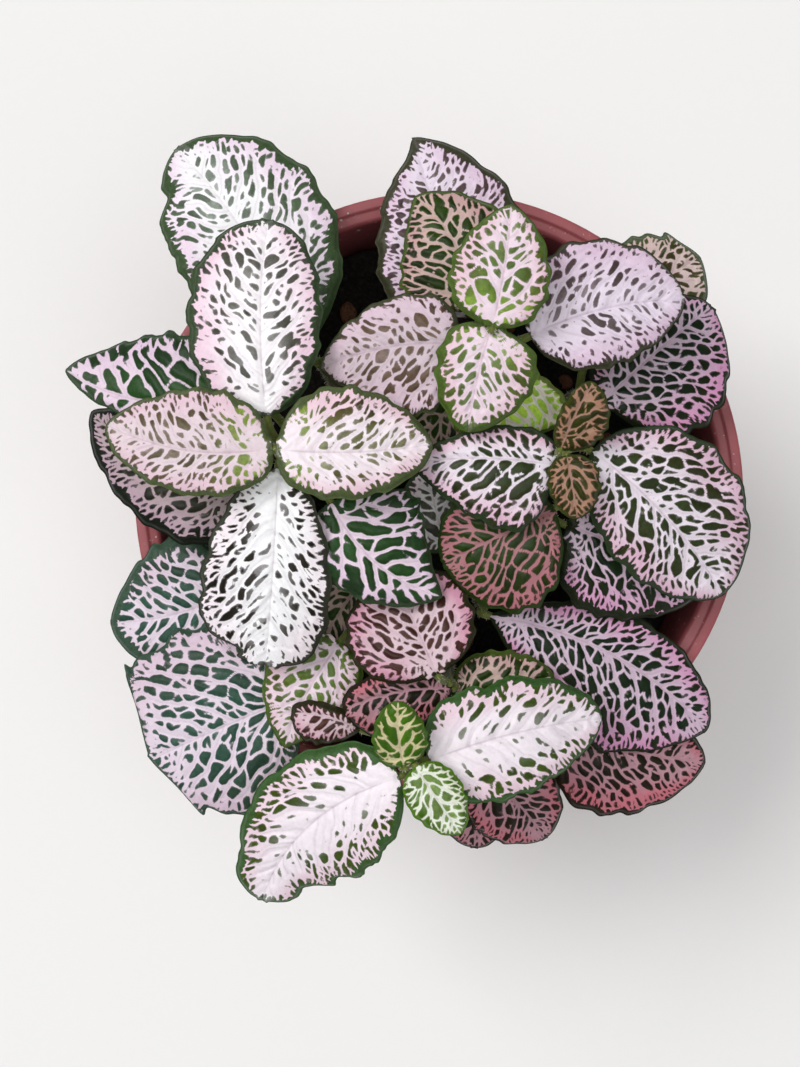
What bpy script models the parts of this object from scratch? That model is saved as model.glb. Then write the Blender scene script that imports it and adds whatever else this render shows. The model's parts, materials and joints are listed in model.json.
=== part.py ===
"""A potted nerve plant (Fittonia): a tapered nursery pot, its soil, and the leafy stems that stand in it.

Lengths are in millimetres, and become metres where a mesh is made. The origin is the centre of the
pot's underside, +Z is up. Each leafy stem is one body: its stem, petioles and blades are fused.
"""
from collections import namedtuple
from math import cos, pi, sin

import bmesh
import bpy
import numpy as np
from mathutils import Matrix, Vector

MM = 0.001
CLEARANCE = 0.3

# Pot
RIM_RADIUS = 60.0
POT_HEIGHT = 100.0
BASE_RADIUS = 43.0
WALL = 1.6
COLLAR_WIDTH = 3.8
COLLAR_HEIGHT = 13.0
FLOOR = 2.6
FLOOR_ROUND = 1.5
RECESS_DEPTH = 1.0
CENTRE_PAD_RADIUS = 14.0
FOOT_WIDTH = 6.0
DRAIN_HOLES = 8
DRAIN_HOLE_RADIUS = 4.0
TURN_SEGMENTS = 40

# Soil
SOIL_TOP = 87.0
SOIL_ROUGHNESS = 1.1
SOIL_EDGE_DROP = 3.0
SOIL_RING_RADII = (11.0, 22.0, 33.0, 44.0)
HOLE_DEPTH = 16.0
HOLE_SIDES = 10

# Stems and leaves
STEM_RADIUS = 1.4
PETIOLE_RADIUS = 0.85
RIB_RADIUS = 0.5
RIB_REACH = 0.25
BLADE_THICKNESS = 0.7
BUD_RADIUS = 1.1
BLADE_STATIONS = 10
SMALL_BLADE_STATIONS = 8
SMALL_BLADE = 20.0
BLADE_ACROSS = (-1.0, -0.55, 0.0, 0.55, 1.0)
ARCH = 0.08
EDGE_RISE = 0.12
EDGE_DROOP = 0.28
WAVE_HEIGHT = 0.45
WAVES = 3.0
SCALLOP = 0.03
SCALLOPS = 5.0

# A leaf runs from the base of its blade to its tip. bow is how far its midrib swings to the left of
# that line, left and right are its half widths, and round_base and round_tip say how its outline
# closes: 0.5 is an ellipse's end, more is pointed, less is blunt. A nick is a notch in the margin,
# or a lobe where its depth is negative: (side, place along the blade, depth, reach along the blade).
Leaf = namedtuple("Leaf", "base tip bow left right round_base round_tip nicks", defaults=((),))

# A shoot is a stem from its root in the soil to its crown, and its leaves, youngest first.
Shoot = namedtuple("Shoot", "name root crown leaves")

SHOOTS = (
    Shoot("leafy_stem_left", (-23, 5), (-29, 7, 139), (
        Leaf((-29.4, 7, 140), (-59, 11.5, 134), 2.5, 7.5, 11.0, 0.42, 0.60),
        Leaf((-28.8, 6.8, 140), (-2, 8, 135), -1.0, 11.5, 8.0, 0.42, 0.60),
        Leaf((-31, 13, 134), (-31, 48, 130), 1.0, 13.0, 10.5, 0.45, 0.45),
        Leaf((-29, 4, 134), (-32.5, -31.5, 120), 0.5, 10.5, 13.0, 0.55, 0.30, ((-1, 0.94, 4.5, 0.04),)),
        Leaf((-38, 17, 126), (-70, 23, 116), 3.5, 3.5, 13.0, 0.35, 0.62),
        Leaf((-20, -2, 128), (0, -19, 124), -3.0, 13.5, 8.0, 0.45, 0.90),
        Leaf((-37, -2, 116), (-67, 16, 107), 2.0, 11.0, 11.0, 0.30, 0.70),
    )),
    Shoot("leafy_stem_back_left", (-21, 23), (-23, 25, 110), (
        Leaf((-26, 28, 113), (-51, 67, 105), -2.0, 14.5, 17.0, 0.65, 0.60,
             ((1, 0.85, 2.0, 0.04), (1, 0.60, 1.2, 0.04))),
    )),
    Shoot("leafy_stem_back", (9, 21), (8, 28, 141), (
        Leaf((7.8, 27.4, 143), (11, 48, 143), -0.5, 9.0, 8.0, 0.45, 0.72),
        Leaf((8, 28, 140), (4, 10, 136), -0.5, 10.0, 7.5, 0.35, 0.60),
        Leaf((2.5, 25.5, 134), (-22, 22, 126), -1.5, 12.5, 9.0, 0.35, 0.75),
        Leaf((15, 27, 134), (43.3, 34.2, 127), 1.5, 12.8, 10.0, 0.45, 0.60),
        Leaf((6, 33, 126), (-5, 54, 122), -2.0, 12.0, 11.5, 0.35, 0.75),
        Leaf((11, 23, 125), (12, 10, 121), 0.0, 11.5, 10.0, 0.70, 0.35),
        Leaf((0, 33, 116), (-5.5, 67, 113), -1.5, 11.5, 18.0, 0.30, 0.70, ((1, 0.90, 2.0, 0.10),)),
        Leaf((5, 20, 119), (-5, 8, 116), 0.0, 6.5, 6.5, 0.45, 0.60),
    )),
    Shoot("leafy_stem_back_right", (27, 20), (29, 19, 115), (
        Leaf((30, 17, 117), (52, 36, 108), 0.5, 9.5, 16.5, 0.45, 0.55),
        Leaf((34, 37, 109), (50.5, 46.3, 104), -0.5, 10.0, 11.5, 0.45, 0.65, ((1, 0.85, -1.5, 0.06),)),
    )),
    Shoot("leafy_stem_right", (16, 4), (21, 7, 136), (
        Leaf((20, 7, 137), (25, 18, 143), 0.5, 2.5, 6.0, 0.45, 0.50),
        Leaf((21, 6, 137), (23, -5, 136), 0.0, 5.0, 4.0, 0.40, 0.55),
        Leaf((19.5, 4.5, 132), (-6, 5, 128), -1.0, 12.5, 6.0, 0.30, 0.80),
        Leaf((26, 7, 132), (52, -19, 118), 1.5, 15.2, 11.5, 0.60, 0.62),
        Leaf((20, -3, 126), (0, -13, 122), 0.0, 14.5, 10.0, 0.55, 0.55),
        Leaf((23, -6, 119), (48, -20, 111), 1.5, 13.5, 13.5, 0.35, 0.60),
    )),
    Shoot("leafy_stem_middle", (3, -13), (2, -13, 110), (
        Leaf((1, -11, 112), (-3, 5, 112), 0.0, 7.0, 7.0, 0.45, 0.60),
    )),
    Shoot("leafy_stem_front_middle", (2, -33), (1, -35, 120), (
        Leaf((-1, -33, 124), (-9, -15, 118.5), 0.0, 13.0, 11.0, 0.40, 0.40),
        Leaf((2, -37, 117), (21, -34, 116), -0.5, 7.0, 7.0, 0.40, 0.60),
        Leaf((2, -36, 120), (-18, -40, 119.5), -1.5, 8.0, 4.0, 0.60, 0.40),
    )),
    Shoot("leafy_stem_front_right", (8, -20), (8, -22, 111), (
        Leaf((9, -23, 113), (52, -46, 103), 4.5, 8.5, 17.5, 0.90, 0.65),
    )),
    Shoot("leafy_stem_inner_left", (-11, -20), (-12, -22, 108), (
        Leaf((-19, -28, 113.5), (-29.5, -48, 112), -1.0, 8.5, 10.0, 0.35, 0.80),
        Leaf((-15, -16, 107), (-24, -30, 105), 0.0, 5.0, 6.0, 0.45, 0.60),
    )),
    Shoot("leafy_stem_front_left", (-28, -24), (-31, -27, 103), (
        Leaf((-26, -38, 109), (-55.8, -51.2, 106), -0.5, 18.0, 20.0, 0.90, 0.80,
             ((-1, 0.86, -6.0, 0.10), (-1, 0.90, -4.0, 0.025),
              (1, 0.875, -4.3, 0.045), (1, 0.55, -1.5, 0.08))),
        Leaf((-38, -18, 105), (-64.5, -25, 101), 1.5, 13.0, 14.5, 0.45, 0.65),
    )),
    Shoot("leafy_stem_front", (-6, -45), (-7, -48, 134), (
        Leaf((-7, -48, 135), (-8, -36, 140), 0.5, 4.5, 5.0, 0.40, 0.60),
        Leaf((-5, -48, 135), (3, -60, 134), 0.0, 5.0, 5.0, 0.45, 0.65),
        Leaf((-7.8, -50.5, 131), (-33.7, -76.8, 112), -4.8, 13.2, 11.2, 0.40, 0.45,
             ((-1, 0.78, 1.2, 0.12), (1, 0.66, 1.6, 0.05), (1, 0.84, 3.0, 0.10))),
        Leaf((-2.5, -47.5, 131), (29.5, -41.5, 119), 1.5, 10.0, 11.5, 0.35, 0.55, ((1, 0.38, 1.2, 0.05),)),
        Leaf((-15, -44, 116.5), (-28, -41, 115.5), -1.0, 5.5, 2.5, 0.60, 0.35),
    )),
    Shoot("leafy_stem_low_right", (12, -41), (13, -45, 104), (
        Leaf((23, -47, 104), (53, -53, 97), 0.0, 11.0, 13.5, 0.35, 0.65),
        Leaf((7, -52, 108), (21, -68, 98), 1.0, 9.0, 9.5, 0.45, 0.55),
        Leaf((3, -51, 104), (7, -70, 97), 1.5, 7.5, 7.5, 0.50, 0.50),
    )),
)


def material(name, colour, roughness, metallic=0.0):
    """A plain Principled material of one colour."""
    made = bpy.data.materials.new(name)
    made.use_nodes = True
    shader = made.node_tree.nodes["Principled BSDF"]
    shader.inputs["Base Color"].default_value = (*colour, 1.0)
    shader.inputs["Roughness"].default_value = roughness
    shader.inputs["Metallic"].default_value = metallic
    return made


def collection(name):
    made = bpy.data.collections.new(name)
    bpy.context.scene.collection.children.link(made)
    return made


def mesh_object(name, mesh, home):
    made = bpy.data.objects.new(name, mesh)
    home.objects.link(made)
    return made


def evaluated_mesh(source):
    """The object's mesh with its modifiers applied."""
    graph = bpy.context.evaluated_depsgraph_get()
    return bpy.data.meshes.new_from_object(source.evaluated_get(graph), depsgraph=graph)


def apply_modifiers(source):
    mesh = evaluated_mesh(source)
    source.modifiers.clear()
    source.data = mesh


def add_boolean(target, operation, operands):
    cut = target.modifiers.new(operation.lower(), "BOOLEAN")
    cut.operation = operation
    cut.solver = "EXACT"
    cut.operand_type = "COLLECTION"
    cut.collection = operands


def turned(name, profile, segments, home):
    """A closed profile of (radius, height) points, turned about Z. It starts on the outer side and runs
    from top to bottom there."""
    mesh = bpy.data.meshes.new(name)
    points = [(radius * MM, 0.0, height * MM) for radius, height in profile]
    on_axis = profile[0][0] == 0.0 and profile[-1][0] == 0.0
    edges = [(i, i + 1) for i in range(len(points) - 1)]
    if not on_axis:
        edges.append((len(points) - 1, 0))
    mesh.from_pydata(points, edges, [])
    made = mesh_object(name, mesh, home)
    screw = made.modifiers.new("turn", "SCREW")
    screw.steps = segments
    screw.render_steps = segments
    screw.use_merge_vertices = True
    screw.merge_threshold = 0.00001
    return made


def cylinder_cutter(name, radius, bottom, top, place, segments, home):
    """A cutter that stands on end at place, an (x, y) point."""
    mesh = bpy.data.meshes.new(name)
    shape = bmesh.new()
    bmesh.ops.create_cone(shape, cap_ends=True, segments=segments, radius1=radius * MM,
                          radius2=radius * MM, depth=(top - bottom) * MM,
                          matrix=Matrix.Translation(Vector((*place, (top + bottom) / 2)) * MM))
    shape.to_mesh(mesh)
    shape.free()
    made = mesh_object(name, mesh, home)
    made.hide_render = True
    made.display_type = "WIRE"
    return made


def inner_radius(height):
    """The radius of the pot's inner wall at a height."""
    top = RIM_RADIUS - COLLAR_WIDTH - WALL / 2
    bottom = BASE_RADIUS - WALL
    return bottom + (top - bottom) * (height - FLOOR) / (POT_HEIGHT - FLOOR)


def make_pot(home, cutters):
    """The pot: a thin tapered wall under a collar that is open below, and a floor with drain holes."""
    collar_bottom = POT_HEIGHT - COLLAR_HEIGHT
    under_rim = POT_HEIGHT - WALL
    inside = inner_radius(POT_HEIGHT)
    outside = inner_radius(POT_HEIGHT) + WALL
    lip = RIM_RADIUS - 2.0
    recess_outer = BASE_RADIUS - FOOT_WIDTH
    profile = [
        (RIM_RADIUS - 0.5, POT_HEIGHT),
        (RIM_RADIUS, POT_HEIGHT - 0.6),
        (RIM_RADIUS - 0.6, collar_bottom),
        (RIM_RADIUS - 0.6 - WALL, collar_bottom),
        (RIM_RADIUS - WALL, under_rim),
        (outside, under_rim),
        (outside - 0.8, collar_bottom - 3.0),
        (BASE_RADIUS + 0.3, 1.5),
        (BASE_RADIUS - 0.7, 0.0),
        (recess_outer, 0.0),
        (recess_outer - RECESS_DEPTH, RECESS_DEPTH),
        (CENTRE_PAD_RADIUS + RECESS_DEPTH, RECESS_DEPTH),
        (CENTRE_PAD_RADIUS, 0.0),
        (0.0, 0.0),
        (0.0, FLOOR),
        (inner_radius(FLOOR + FLOOR_ROUND) - FLOOR_ROUND, FLOOR),
        (inner_radius(FLOOR + FLOOR_ROUND), FLOOR + FLOOR_ROUND),
        (inner_radius(collar_bottom), collar_bottom),
        (inside, POT_HEIGHT - 1.4),
        (inside + 0.5, POT_HEIGHT - 0.7),
        (lip - 0.4, POT_HEIGHT - 0.5),
        (lip, POT_HEIGHT),
    ]
    pot = turned("nursery_pot", profile, TURN_SEGMENTS, home)
    for i in range(DRAIN_HOLES):
        turn = 2 * pi * (i + 0.5) / DRAIN_HOLES
        ring = (CENTRE_PAD_RADIUS + recess_outer) / 2
        cylinder_cutter(f"drain_hole_{i + 1}", DRAIN_HOLE_RADIUS, -1.0, FLOOR + 1.0,
                        (ring * cos(turn), ring * sin(turn)), HOLE_SIDES, cutters)
    add_boolean(pot, "DIFFERENCE", cutters)
    pot.data.materials.append(material("moulded_polypropylene", (0.36, 0.10, 0.09), 0.45))
    return pot


def soil_height(x, y):
    """The lumpy top of the soil, a little lower at the pot's wall."""
    lumps = sin(0.31 * x + 1.0) * cos(0.27 * y) + 0.6 * sin(0.53 * y + 0.4 * x)
    return SOIL_TOP + SOIL_ROUGHNESS * lumps - 0.0006 * (x * x + y * y)


def make_soil(home, cutters):
    """The soil fills the pot to just below its collar, with a plain hole for each stem."""
    mesh = bpy.data.meshes.new("soil")
    shape = bmesh.new()
    wall = inner_radius(SOIL_TOP - SOIL_EDGE_DROP) - CLEARANCE
    floor = FLOOR + CLEARANCE
    heel = floor + FLOOR_ROUND
    turns = [2 * pi * i / TURN_SEGMENTS for i in range(TURN_SEGMENTS)]

    def ring(radius, height):
        places = [(radius * cos(turn), radius * sin(turn)) for turn in turns]
        heights = [soil_height(x, y) if height is None else height for x, y in places]
        return [shape.verts.new(Vector((x, y, z)) * MM) for (x, y), z in zip(places, heights)]

    def band(upper, lower):
        for i in range(TURN_SEGMENTS):
            j = (i + 1) % TURN_SEGMENTS
            shape.faces.new((upper[i], lower[i], lower[j]))
            shape.faces.new((upper[i], lower[j], upper[j]))

    def cap(edge, middle, upward):
        for i in range(TURN_SEGMENTS):
            j = (i + 1) % TURN_SEGMENTS
            shape.faces.new((middle, edge[i], edge[j]) if upward else (middle, edge[j], edge[i]))

    rings = [ring(radius, None) for radius in (*SOIL_RING_RADII, wall)]
    rings.append(ring(inner_radius(heel) - CLEARANCE, heel))
    rings.append(ring(inner_radius(heel) - CLEARANCE - FLOOR_ROUND, floor))
    cap(rings[0], shape.verts.new(Vector((0, 0, soil_height(0, 0))) * MM), True)
    for upper, lower in zip(rings, rings[1:]):
        band(upper, lower)
    cap(rings[-1], shape.verts.new(Vector((0, 0, floor)) * MM), False)
    shape.to_mesh(mesh)
    shape.free()
    soil = mesh_object("soil", mesh, home)
    hole_radius = (STEM_RADIUS + CLEARANCE) / cos(pi / HOLE_SIDES)
    for shoot in SHOOTS:
        cylinder_cutter(f"{shoot.name}_hole", hole_radius, SOIL_TOP - HOLE_DEPTH, SOIL_TOP + 8.0,
                        shoot.root, HOLE_SIDES, cutters)
    add_boolean(soil, "DIFFERENCE", cutters)
    soil.data.materials.append(material("potting_soil", (0.02, 0.014, 0.01), 0.95))
    return soil


def blade_points(leaf, phase, along, across):
    """Points of the blade's middle surface, along from 0 at its base to 1 at its tip and across from
    -1 at its right margin to 1 at its left one, as an array of (x, y, z)."""
    along, across = np.broadcast_arrays(np.asarray(along, float), np.asarray(across, float))
    base = np.array(leaf.base, float)
    tip = np.array(leaf.tip, float)
    run = (tip - base)[:2]
    length = np.hypot(*run)
    side = np.array((-run[1], run[0])) / length
    swing = 4 * along * (1 - along)
    midrib = base[:2] + along[..., None] * run + (leaf.bow * swing)[..., None] * side
    heading = run + (4 * leaf.bow * (1 - 2 * along))[..., None] * side
    heading = heading / np.linalg.norm(heading, axis=-1, keepdims=True)
    outward = np.stack((-heading[..., 1], heading[..., 0]), -1)

    widest = leaf.round_base / (leaf.round_base + leaf.round_tip)
    peak = widest ** leaf.round_base * (1 - widest) ** leaf.round_tip
    fullness = along ** leaf.round_base * (1 - along) ** leaf.round_tip / peak
    half = np.where(across >= 0, leaf.left, leaf.right) * fullness
    half = half * (1 + SCALLOP * np.sin(2 * pi * SCALLOPS * along + 2.3 * phase))
    for nick_side, place, depth, reach in leaf.nicks:
        on_side = across * nick_side > 0
        half = half - np.where(on_side, depth, 0.0) * np.exp(-((along - place) / reach) ** 2)
    half = np.maximum(half, 0.0)

    out = np.abs(across)
    height = base[2] + (tip[2] - base[2]) * along + ARCH * length * swing
    height = height + half * (EDGE_RISE * out - EDGE_DROOP * out ** 2.2)
    wave = np.sin(2 * pi * WAVES * along + phase + np.where(across > 0, 0.0, 1.7))
    height = height + WAVE_HEIGHT * swing * wave * out ** 3
    place = midrib + (across * half)[..., None] * outward
    return np.concatenate((place, height[..., None]), -1)


def make_blade(name, leaf, phase, home):
    """A thin blade on its middle surface, in triangles that are alike on both faces."""
    small = (Vector(leaf.tip) - Vector(leaf.base)).length < SMALL_BLADE
    stations = SMALL_BLADE_STATIONS if small else BLADE_STATIONS
    places = [(1 - cos(pi * i / stations)) / 2 for i in range(1, stations)]
    grid = blade_points(leaf, phase, np.array(places)[:, None], np.array(BLADE_ACROSS)[None, :])
    base = blade_points(leaf, phase, 0.0, 0.0)
    tip = blade_points(leaf, phase, 1.0, 0.0)
    mesh = bpy.data.meshes.new(name)
    shape = bmesh.new()
    rows = [[shape.verts.new(Vector(point) * MM) for point in row] for row in grid]
    base_vert = shape.verts.new(Vector(base) * MM)
    tip_vert = shape.verts.new(Vector(tip) * MM)
    middle = len(BLADE_ACROSS) // 2
    for i in range(len(BLADE_ACROSS) - 1):
        shape.faces.new((base_vert, rows[0][i], rows[0][i + 1]))
        shape.faces.new((tip_vert, rows[-1][i + 1], rows[-1][i]))
        for near, far in zip(rows, rows[1:]):
            if i < middle:
                shape.faces.new((near[i], far[i], near[i + 1]))
                shape.faces.new((near[i + 1], far[i], far[i + 1]))
            else:
                shape.faces.new((near[i], far[i], far[i + 1]))
                shape.faces.new((near[i], far[i + 1], near[i + 1]))
    shape.to_mesh(mesh)
    shape.free()
    blade = mesh_object(name, mesh, home)
    shell = blade.modifiers.new("thickness", "SOLIDIFY")
    shell.thickness = BLADE_THICKNESS * MM
    shell.offset = 0.0
    apply_modifiers(blade)
    return blade


def tube(name, path, radii, home):
    """A six-sided tube along a path, with its own radius at each point."""
    curve = bpy.data.curves.new(name, "CURVE")
    curve.dimensions = "3D"
    curve.bevel_depth = MM
    curve.bevel_resolution = 1
    curve.use_fill_caps = True
    spline = curve.splines.new("POLY")
    spline.points.add(len(path) - 1)
    for point, place, radius in zip(spline.points, path, radii):
        point.co = (*(Vector(place) * MM), 1.0)
        point.radius = radius
    rail = bpy.data.objects.new(name, curve)
    home.objects.link(rail)
    mesh = evaluated_mesh(rail)
    shape = bmesh.new()
    shape.from_mesh(mesh)
    bmesh.ops.remove_doubles(shape, verts=shape.verts, dist=0.000001)
    shape.to_mesh(mesh)
    shape.free()
    placement = rail.matrix_world.copy()
    bpy.data.objects.remove(rail)
    made = mesh_object(name, mesh, home)
    made.matrix_world = placement
    return made


def stem_path(shoot):
    """A stem stands straight in its hole and then leans over to its crown."""
    root = np.array((*shoot.root, SOIL_TOP - HOLE_DEPTH + CLEARANCE), float)
    collar = np.array((*shoot.root, SOIL_TOP + 3.0), float)
    crown = np.array(shoot.crown, float)
    bend = collar + np.array((0.0, 0.0, 0.45)) * (crown[2] - collar[2])
    steps = np.linspace(0.0, 1.0, 6)[:, None]
    lean = (1 - steps) ** 2 * collar + 2 * steps * (1 - steps) * bend + steps ** 2 * crown
    return np.vstack((root, lean))


def petiole_path(shoot, leaf, phase):
    """A petiole leaves the stem below the blade, rises to its base and runs on under its midrib."""
    stem = stem_path(shoot)
    base = np.array(leaf.base, float)
    reach = np.hypot(*(base[:2] - np.array(shoot.crown[:2])))
    start_height = min(base[2] - 2.5 - 0.35 * reach, shoot.crown[2] - 1.0)
    start = np.array([np.interp(start_height, stem[:, 2], stem[:, k]) for k in range(3)])
    under = np.array((0.0, 0.0, BLADE_THICKNESS / 2 + 0.35))
    rib = blade_points(leaf, phase, RIB_REACH, 0.0) - under
    knee = base - under - 0.2 * (rib - base + under) * max(reach, 3.0) / 3.0
    knee[2] = min(knee[2], base[2] - 0.8)
    steps = np.array((0.0, 0.5, 1.0))[:, None]
    rise = (1 - steps) ** 2 * start + 2 * steps * (1 - steps) * knee + steps ** 2 * (base - under)
    return np.vstack((rise, rib))


def make_bud(name, place, home):
    mesh = bpy.data.meshes.new(name)
    shape = bmesh.new()
    bmesh.ops.create_icosphere(shape, subdivisions=1, radius=BUD_RADIUS * MM,
                               matrix=Matrix.Translation(Vector(place) * MM))
    shape.to_mesh(mesh)
    shape.free()
    return mesh_object(name, mesh, home)


def make_shoot(shoot, home, green):
    """One leafy stem: its stem, bud, petioles and blades, fused."""
    pieces = collection(f"{shoot.name}_pieces")
    path = stem_path(shoot)
    stem = tube(shoot.name, path, np.linspace(STEM_RADIUS, 0.65 * STEM_RADIUS, len(path)), home)
    make_bud(f"{shoot.name}_bud", shoot.crown, pieces)
    for number, leaf in enumerate(shoot.leaves, start=1):
        phase = leaf_phase(shoot, number)
        make_blade(f"{shoot.name}_blade_{number}", leaf, phase, pieces)
        radii = (PETIOLE_RADIUS, PETIOLE_RADIUS, 0.85 * PETIOLE_RADIUS, RIB_RADIUS)
        tube(f"{shoot.name}_petiole_{number}", petiole_path(shoot, leaf, phase), radii, pieces)
    add_boolean(stem, "UNION", pieces)
    apply_modifiers(stem)
    for piece in list(pieces.objects):
        bpy.data.objects.remove(piece)
    bpy.data.collections.remove(pieces)
    stem.data.materials.clear()
    stem.data.materials.append(green)
    return stem


def leaf_phase(shoot, number):
    """Each leaf's waves start elsewhere."""
    return 2.4 * number + 1.1 * SHOOTS.index(shoot)


def remove_everything():
    for old in list(bpy.data.objects):
        bpy.data.objects.remove(old)
    for old in list(bpy.data.collections):
        bpy.data.collections.remove(old)


def main():
    remove_everything()
    plant = collection("potted_nerve_plant")
    make_pot(plant, collection("drain_hole_cutters"))
    make_soil(plant, collection("stem_hole_cutters"))
    leaf_green = material("leaf", (0.10, 0.19, 0.08), 0.5)
    for shoot in SHOOTS:
        make_shoot(shoot, plant, leaf_green)


main()
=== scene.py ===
"""The looks of a potted nerve plant (Fittonia): veined leaves on downy stems in a tapered nursery pot.

Lengths are in millimetres where nothing else is said, and become metres where a mesh is made.
The origin is the centre of the pot's underside, and +Z is up.
"""

import json
from collections import namedtuple
from math import cos, pi, sin, sqrt

import bmesh
import bpy
import numpy as np
from bpy.props import FloatProperty, FloatVectorProperty, IntProperty, PointerProperty
from bpy.types import Operator, Panel, PropertyGroup
from mathutils import Matrix, Vector

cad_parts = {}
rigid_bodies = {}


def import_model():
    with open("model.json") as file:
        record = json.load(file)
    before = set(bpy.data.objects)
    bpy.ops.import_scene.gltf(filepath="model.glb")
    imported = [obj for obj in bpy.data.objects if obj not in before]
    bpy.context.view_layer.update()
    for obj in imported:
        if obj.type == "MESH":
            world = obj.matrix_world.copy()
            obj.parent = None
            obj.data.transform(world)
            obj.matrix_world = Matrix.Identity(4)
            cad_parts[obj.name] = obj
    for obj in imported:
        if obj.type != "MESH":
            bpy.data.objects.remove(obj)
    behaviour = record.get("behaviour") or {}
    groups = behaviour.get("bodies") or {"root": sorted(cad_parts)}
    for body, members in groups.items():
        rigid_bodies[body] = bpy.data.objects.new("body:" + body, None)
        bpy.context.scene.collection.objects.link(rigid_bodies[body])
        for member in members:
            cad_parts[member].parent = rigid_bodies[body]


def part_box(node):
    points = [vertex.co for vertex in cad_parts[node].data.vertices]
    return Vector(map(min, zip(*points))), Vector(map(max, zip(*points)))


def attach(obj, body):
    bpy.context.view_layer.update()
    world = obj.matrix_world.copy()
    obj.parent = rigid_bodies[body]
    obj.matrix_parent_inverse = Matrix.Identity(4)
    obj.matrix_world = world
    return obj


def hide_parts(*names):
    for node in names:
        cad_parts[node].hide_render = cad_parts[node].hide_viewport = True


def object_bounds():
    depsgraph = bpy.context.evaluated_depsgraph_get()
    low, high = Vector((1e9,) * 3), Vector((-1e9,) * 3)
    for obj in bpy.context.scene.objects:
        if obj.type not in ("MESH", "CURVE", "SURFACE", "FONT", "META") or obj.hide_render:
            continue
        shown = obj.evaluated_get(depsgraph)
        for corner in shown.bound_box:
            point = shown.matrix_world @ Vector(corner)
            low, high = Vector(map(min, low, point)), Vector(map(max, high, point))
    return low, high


bl_info = {
    "name": "Potted nerve plant",
    "version": (1, 0, 0),
    "blender": (4, 5, 0),
    "location": "View3D > Sidebar > Nerve Plant",
    "description": "Makes a nerve plant's leaves, stems, soil, pot and stage on its packed frame",
    "category": "Add Mesh",
}

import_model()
CAD_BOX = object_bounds()
MM = 0.001
POT_LOW, POT_HIGH = (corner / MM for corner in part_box("nursery_pot"))

# The pot, whose outer sizes are the frame's
RIM_RADIUS = (POT_HIGH.x - POT_LOW.x) / 2
POT_HEIGHT = POT_HIGH.z
BASE_RADIUS = 43.0
WALL = 1.6
COLLAR_WIDTH = 3.8
COLLAR_HEIGHT = 13.0
FLOOR = 2.6
FLOOR_ROUND = 1.5
RECESS_DEPTH = 1.0
CENTRE_PAD_RADIUS = 14.0
FOOT_WIDTH = 6.0
DRAIN_HOLES = 8
DRAIN_HOLE_RADIUS = 4.0

# The soil, its mesh, and the room that loose lumps leave round each stem
SOIL_TOP = 87.0
SOIL_ROUGHNESS = 1.1
SOIL_EDGE_DROP = 3.0
CLEARANCE = 0.3
SOIL_SIDES = 240
SOIL_RINGS = 80
STEM_ROOM = 3.2

# Stems and petioles. A stem stands straight up to STEM_COLLAR over the soil.
STEM_BELOW_SOIL = 15.7
STEM_COLLAR = 3.0
STEM_RADIUS = 1.4
PETIOLE_RADIUS = 0.85
HAIR_RADIUS = 0.045
BUD_SCALES = 4
BUD_SIZE = 2.0

# The rib under a blade, which runs along this share of it
RIB_RADIUS = 0.5
RIB_REACH = 0.25

# Blades. ARCH is a share of the blade's length, and EDGE_RISE, EDGE_DROOP and SCALLOP of its half width.
CAD_BLADE_THICKNESS = 0.7
BLADE_THICKNESS = 0.45
ARCH = 0.08
EDGE_RISE = 0.12
EDGE_DROOP = 0.28
WAVE_HEIGHT = 0.45
WAVES = 3.0
SCALLOP = 0.03
SCALLOPS = 5.0

# A blade shorter than FINE_LENGTH gets a finer mesh, and no vein is thinner than THINNEST_VEIN of its steps.
FINE_LENGTH = 26.0
THINNEST_VEIN = 1.3

# The veins of a blade of STANDARD_LENGTH: their half widths where they start, how much of that they lose
# towards their end, and the ring of small cells along the margin, which are RING_STRETCH times as long as
# wide. Longer blades have wider veins.
STANDARD_LENGTH = 30.0
MIDRIB_HALF = 0.62
MIDRIB_TAPER = 0.42
SIDE_VEIN_HALF = 0.46
SIDE_VEIN_TAPER = 0.26
SIDE_VEIN_SPACING = 4.4
RING_WIDTH = 2.3
RING_STRETCH = 1.9

# The corners of cells are sharper where CELL_ROUNDING is larger. A point's cell is found among the nearest
# NEIGHBOURS, and cells of another strip count as FAR_OFF.
CELL_ROUNDING = 3.8
NEIGHBOURS = 6
FAR_OFF = 30.0

# The relief of a blade: the channel over its midrib, the rib below it, how far the margin is rolled down
# and how far its rim stands out
CHANNEL_DEPTH = 0.30
UNDER_RIB = 0.32
MARGIN_ROLL = 0.15
RIM_REACH = 0.08

# Leaves that start at CROWN_HEIGHT or above are the youngest, and still a fresh green.
CROWN_HEIGHT = 138.0
FRESH_GREEN = "#86A838"

# The fine dark line along the middle of the midrib and the side veins
GROOVE_COLOUR = "#8E7480"

# The camera looks straight down, a little to the left and in front of the pot's axis.
CAMERA_X = -7.71
CAMERA_Y = -7.50
SENSOR_HEIGHT = 36.0
LENS = 51.45

# The floor lies this far below the pot, so that the two don't share a plane.
FLOOR_DROP = 0.02

# A leaf's look: the colour of its veins by the midrib (heart) and towards the margin (edge), of the green
# cells by the midrib (cell) and towards the margin (deep), and of its rim, the width of a cell, and how
# many times as long as wide it is.
Look = namedtuple("Look", "heart edge cell deep rim cell_width stretch")

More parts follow.
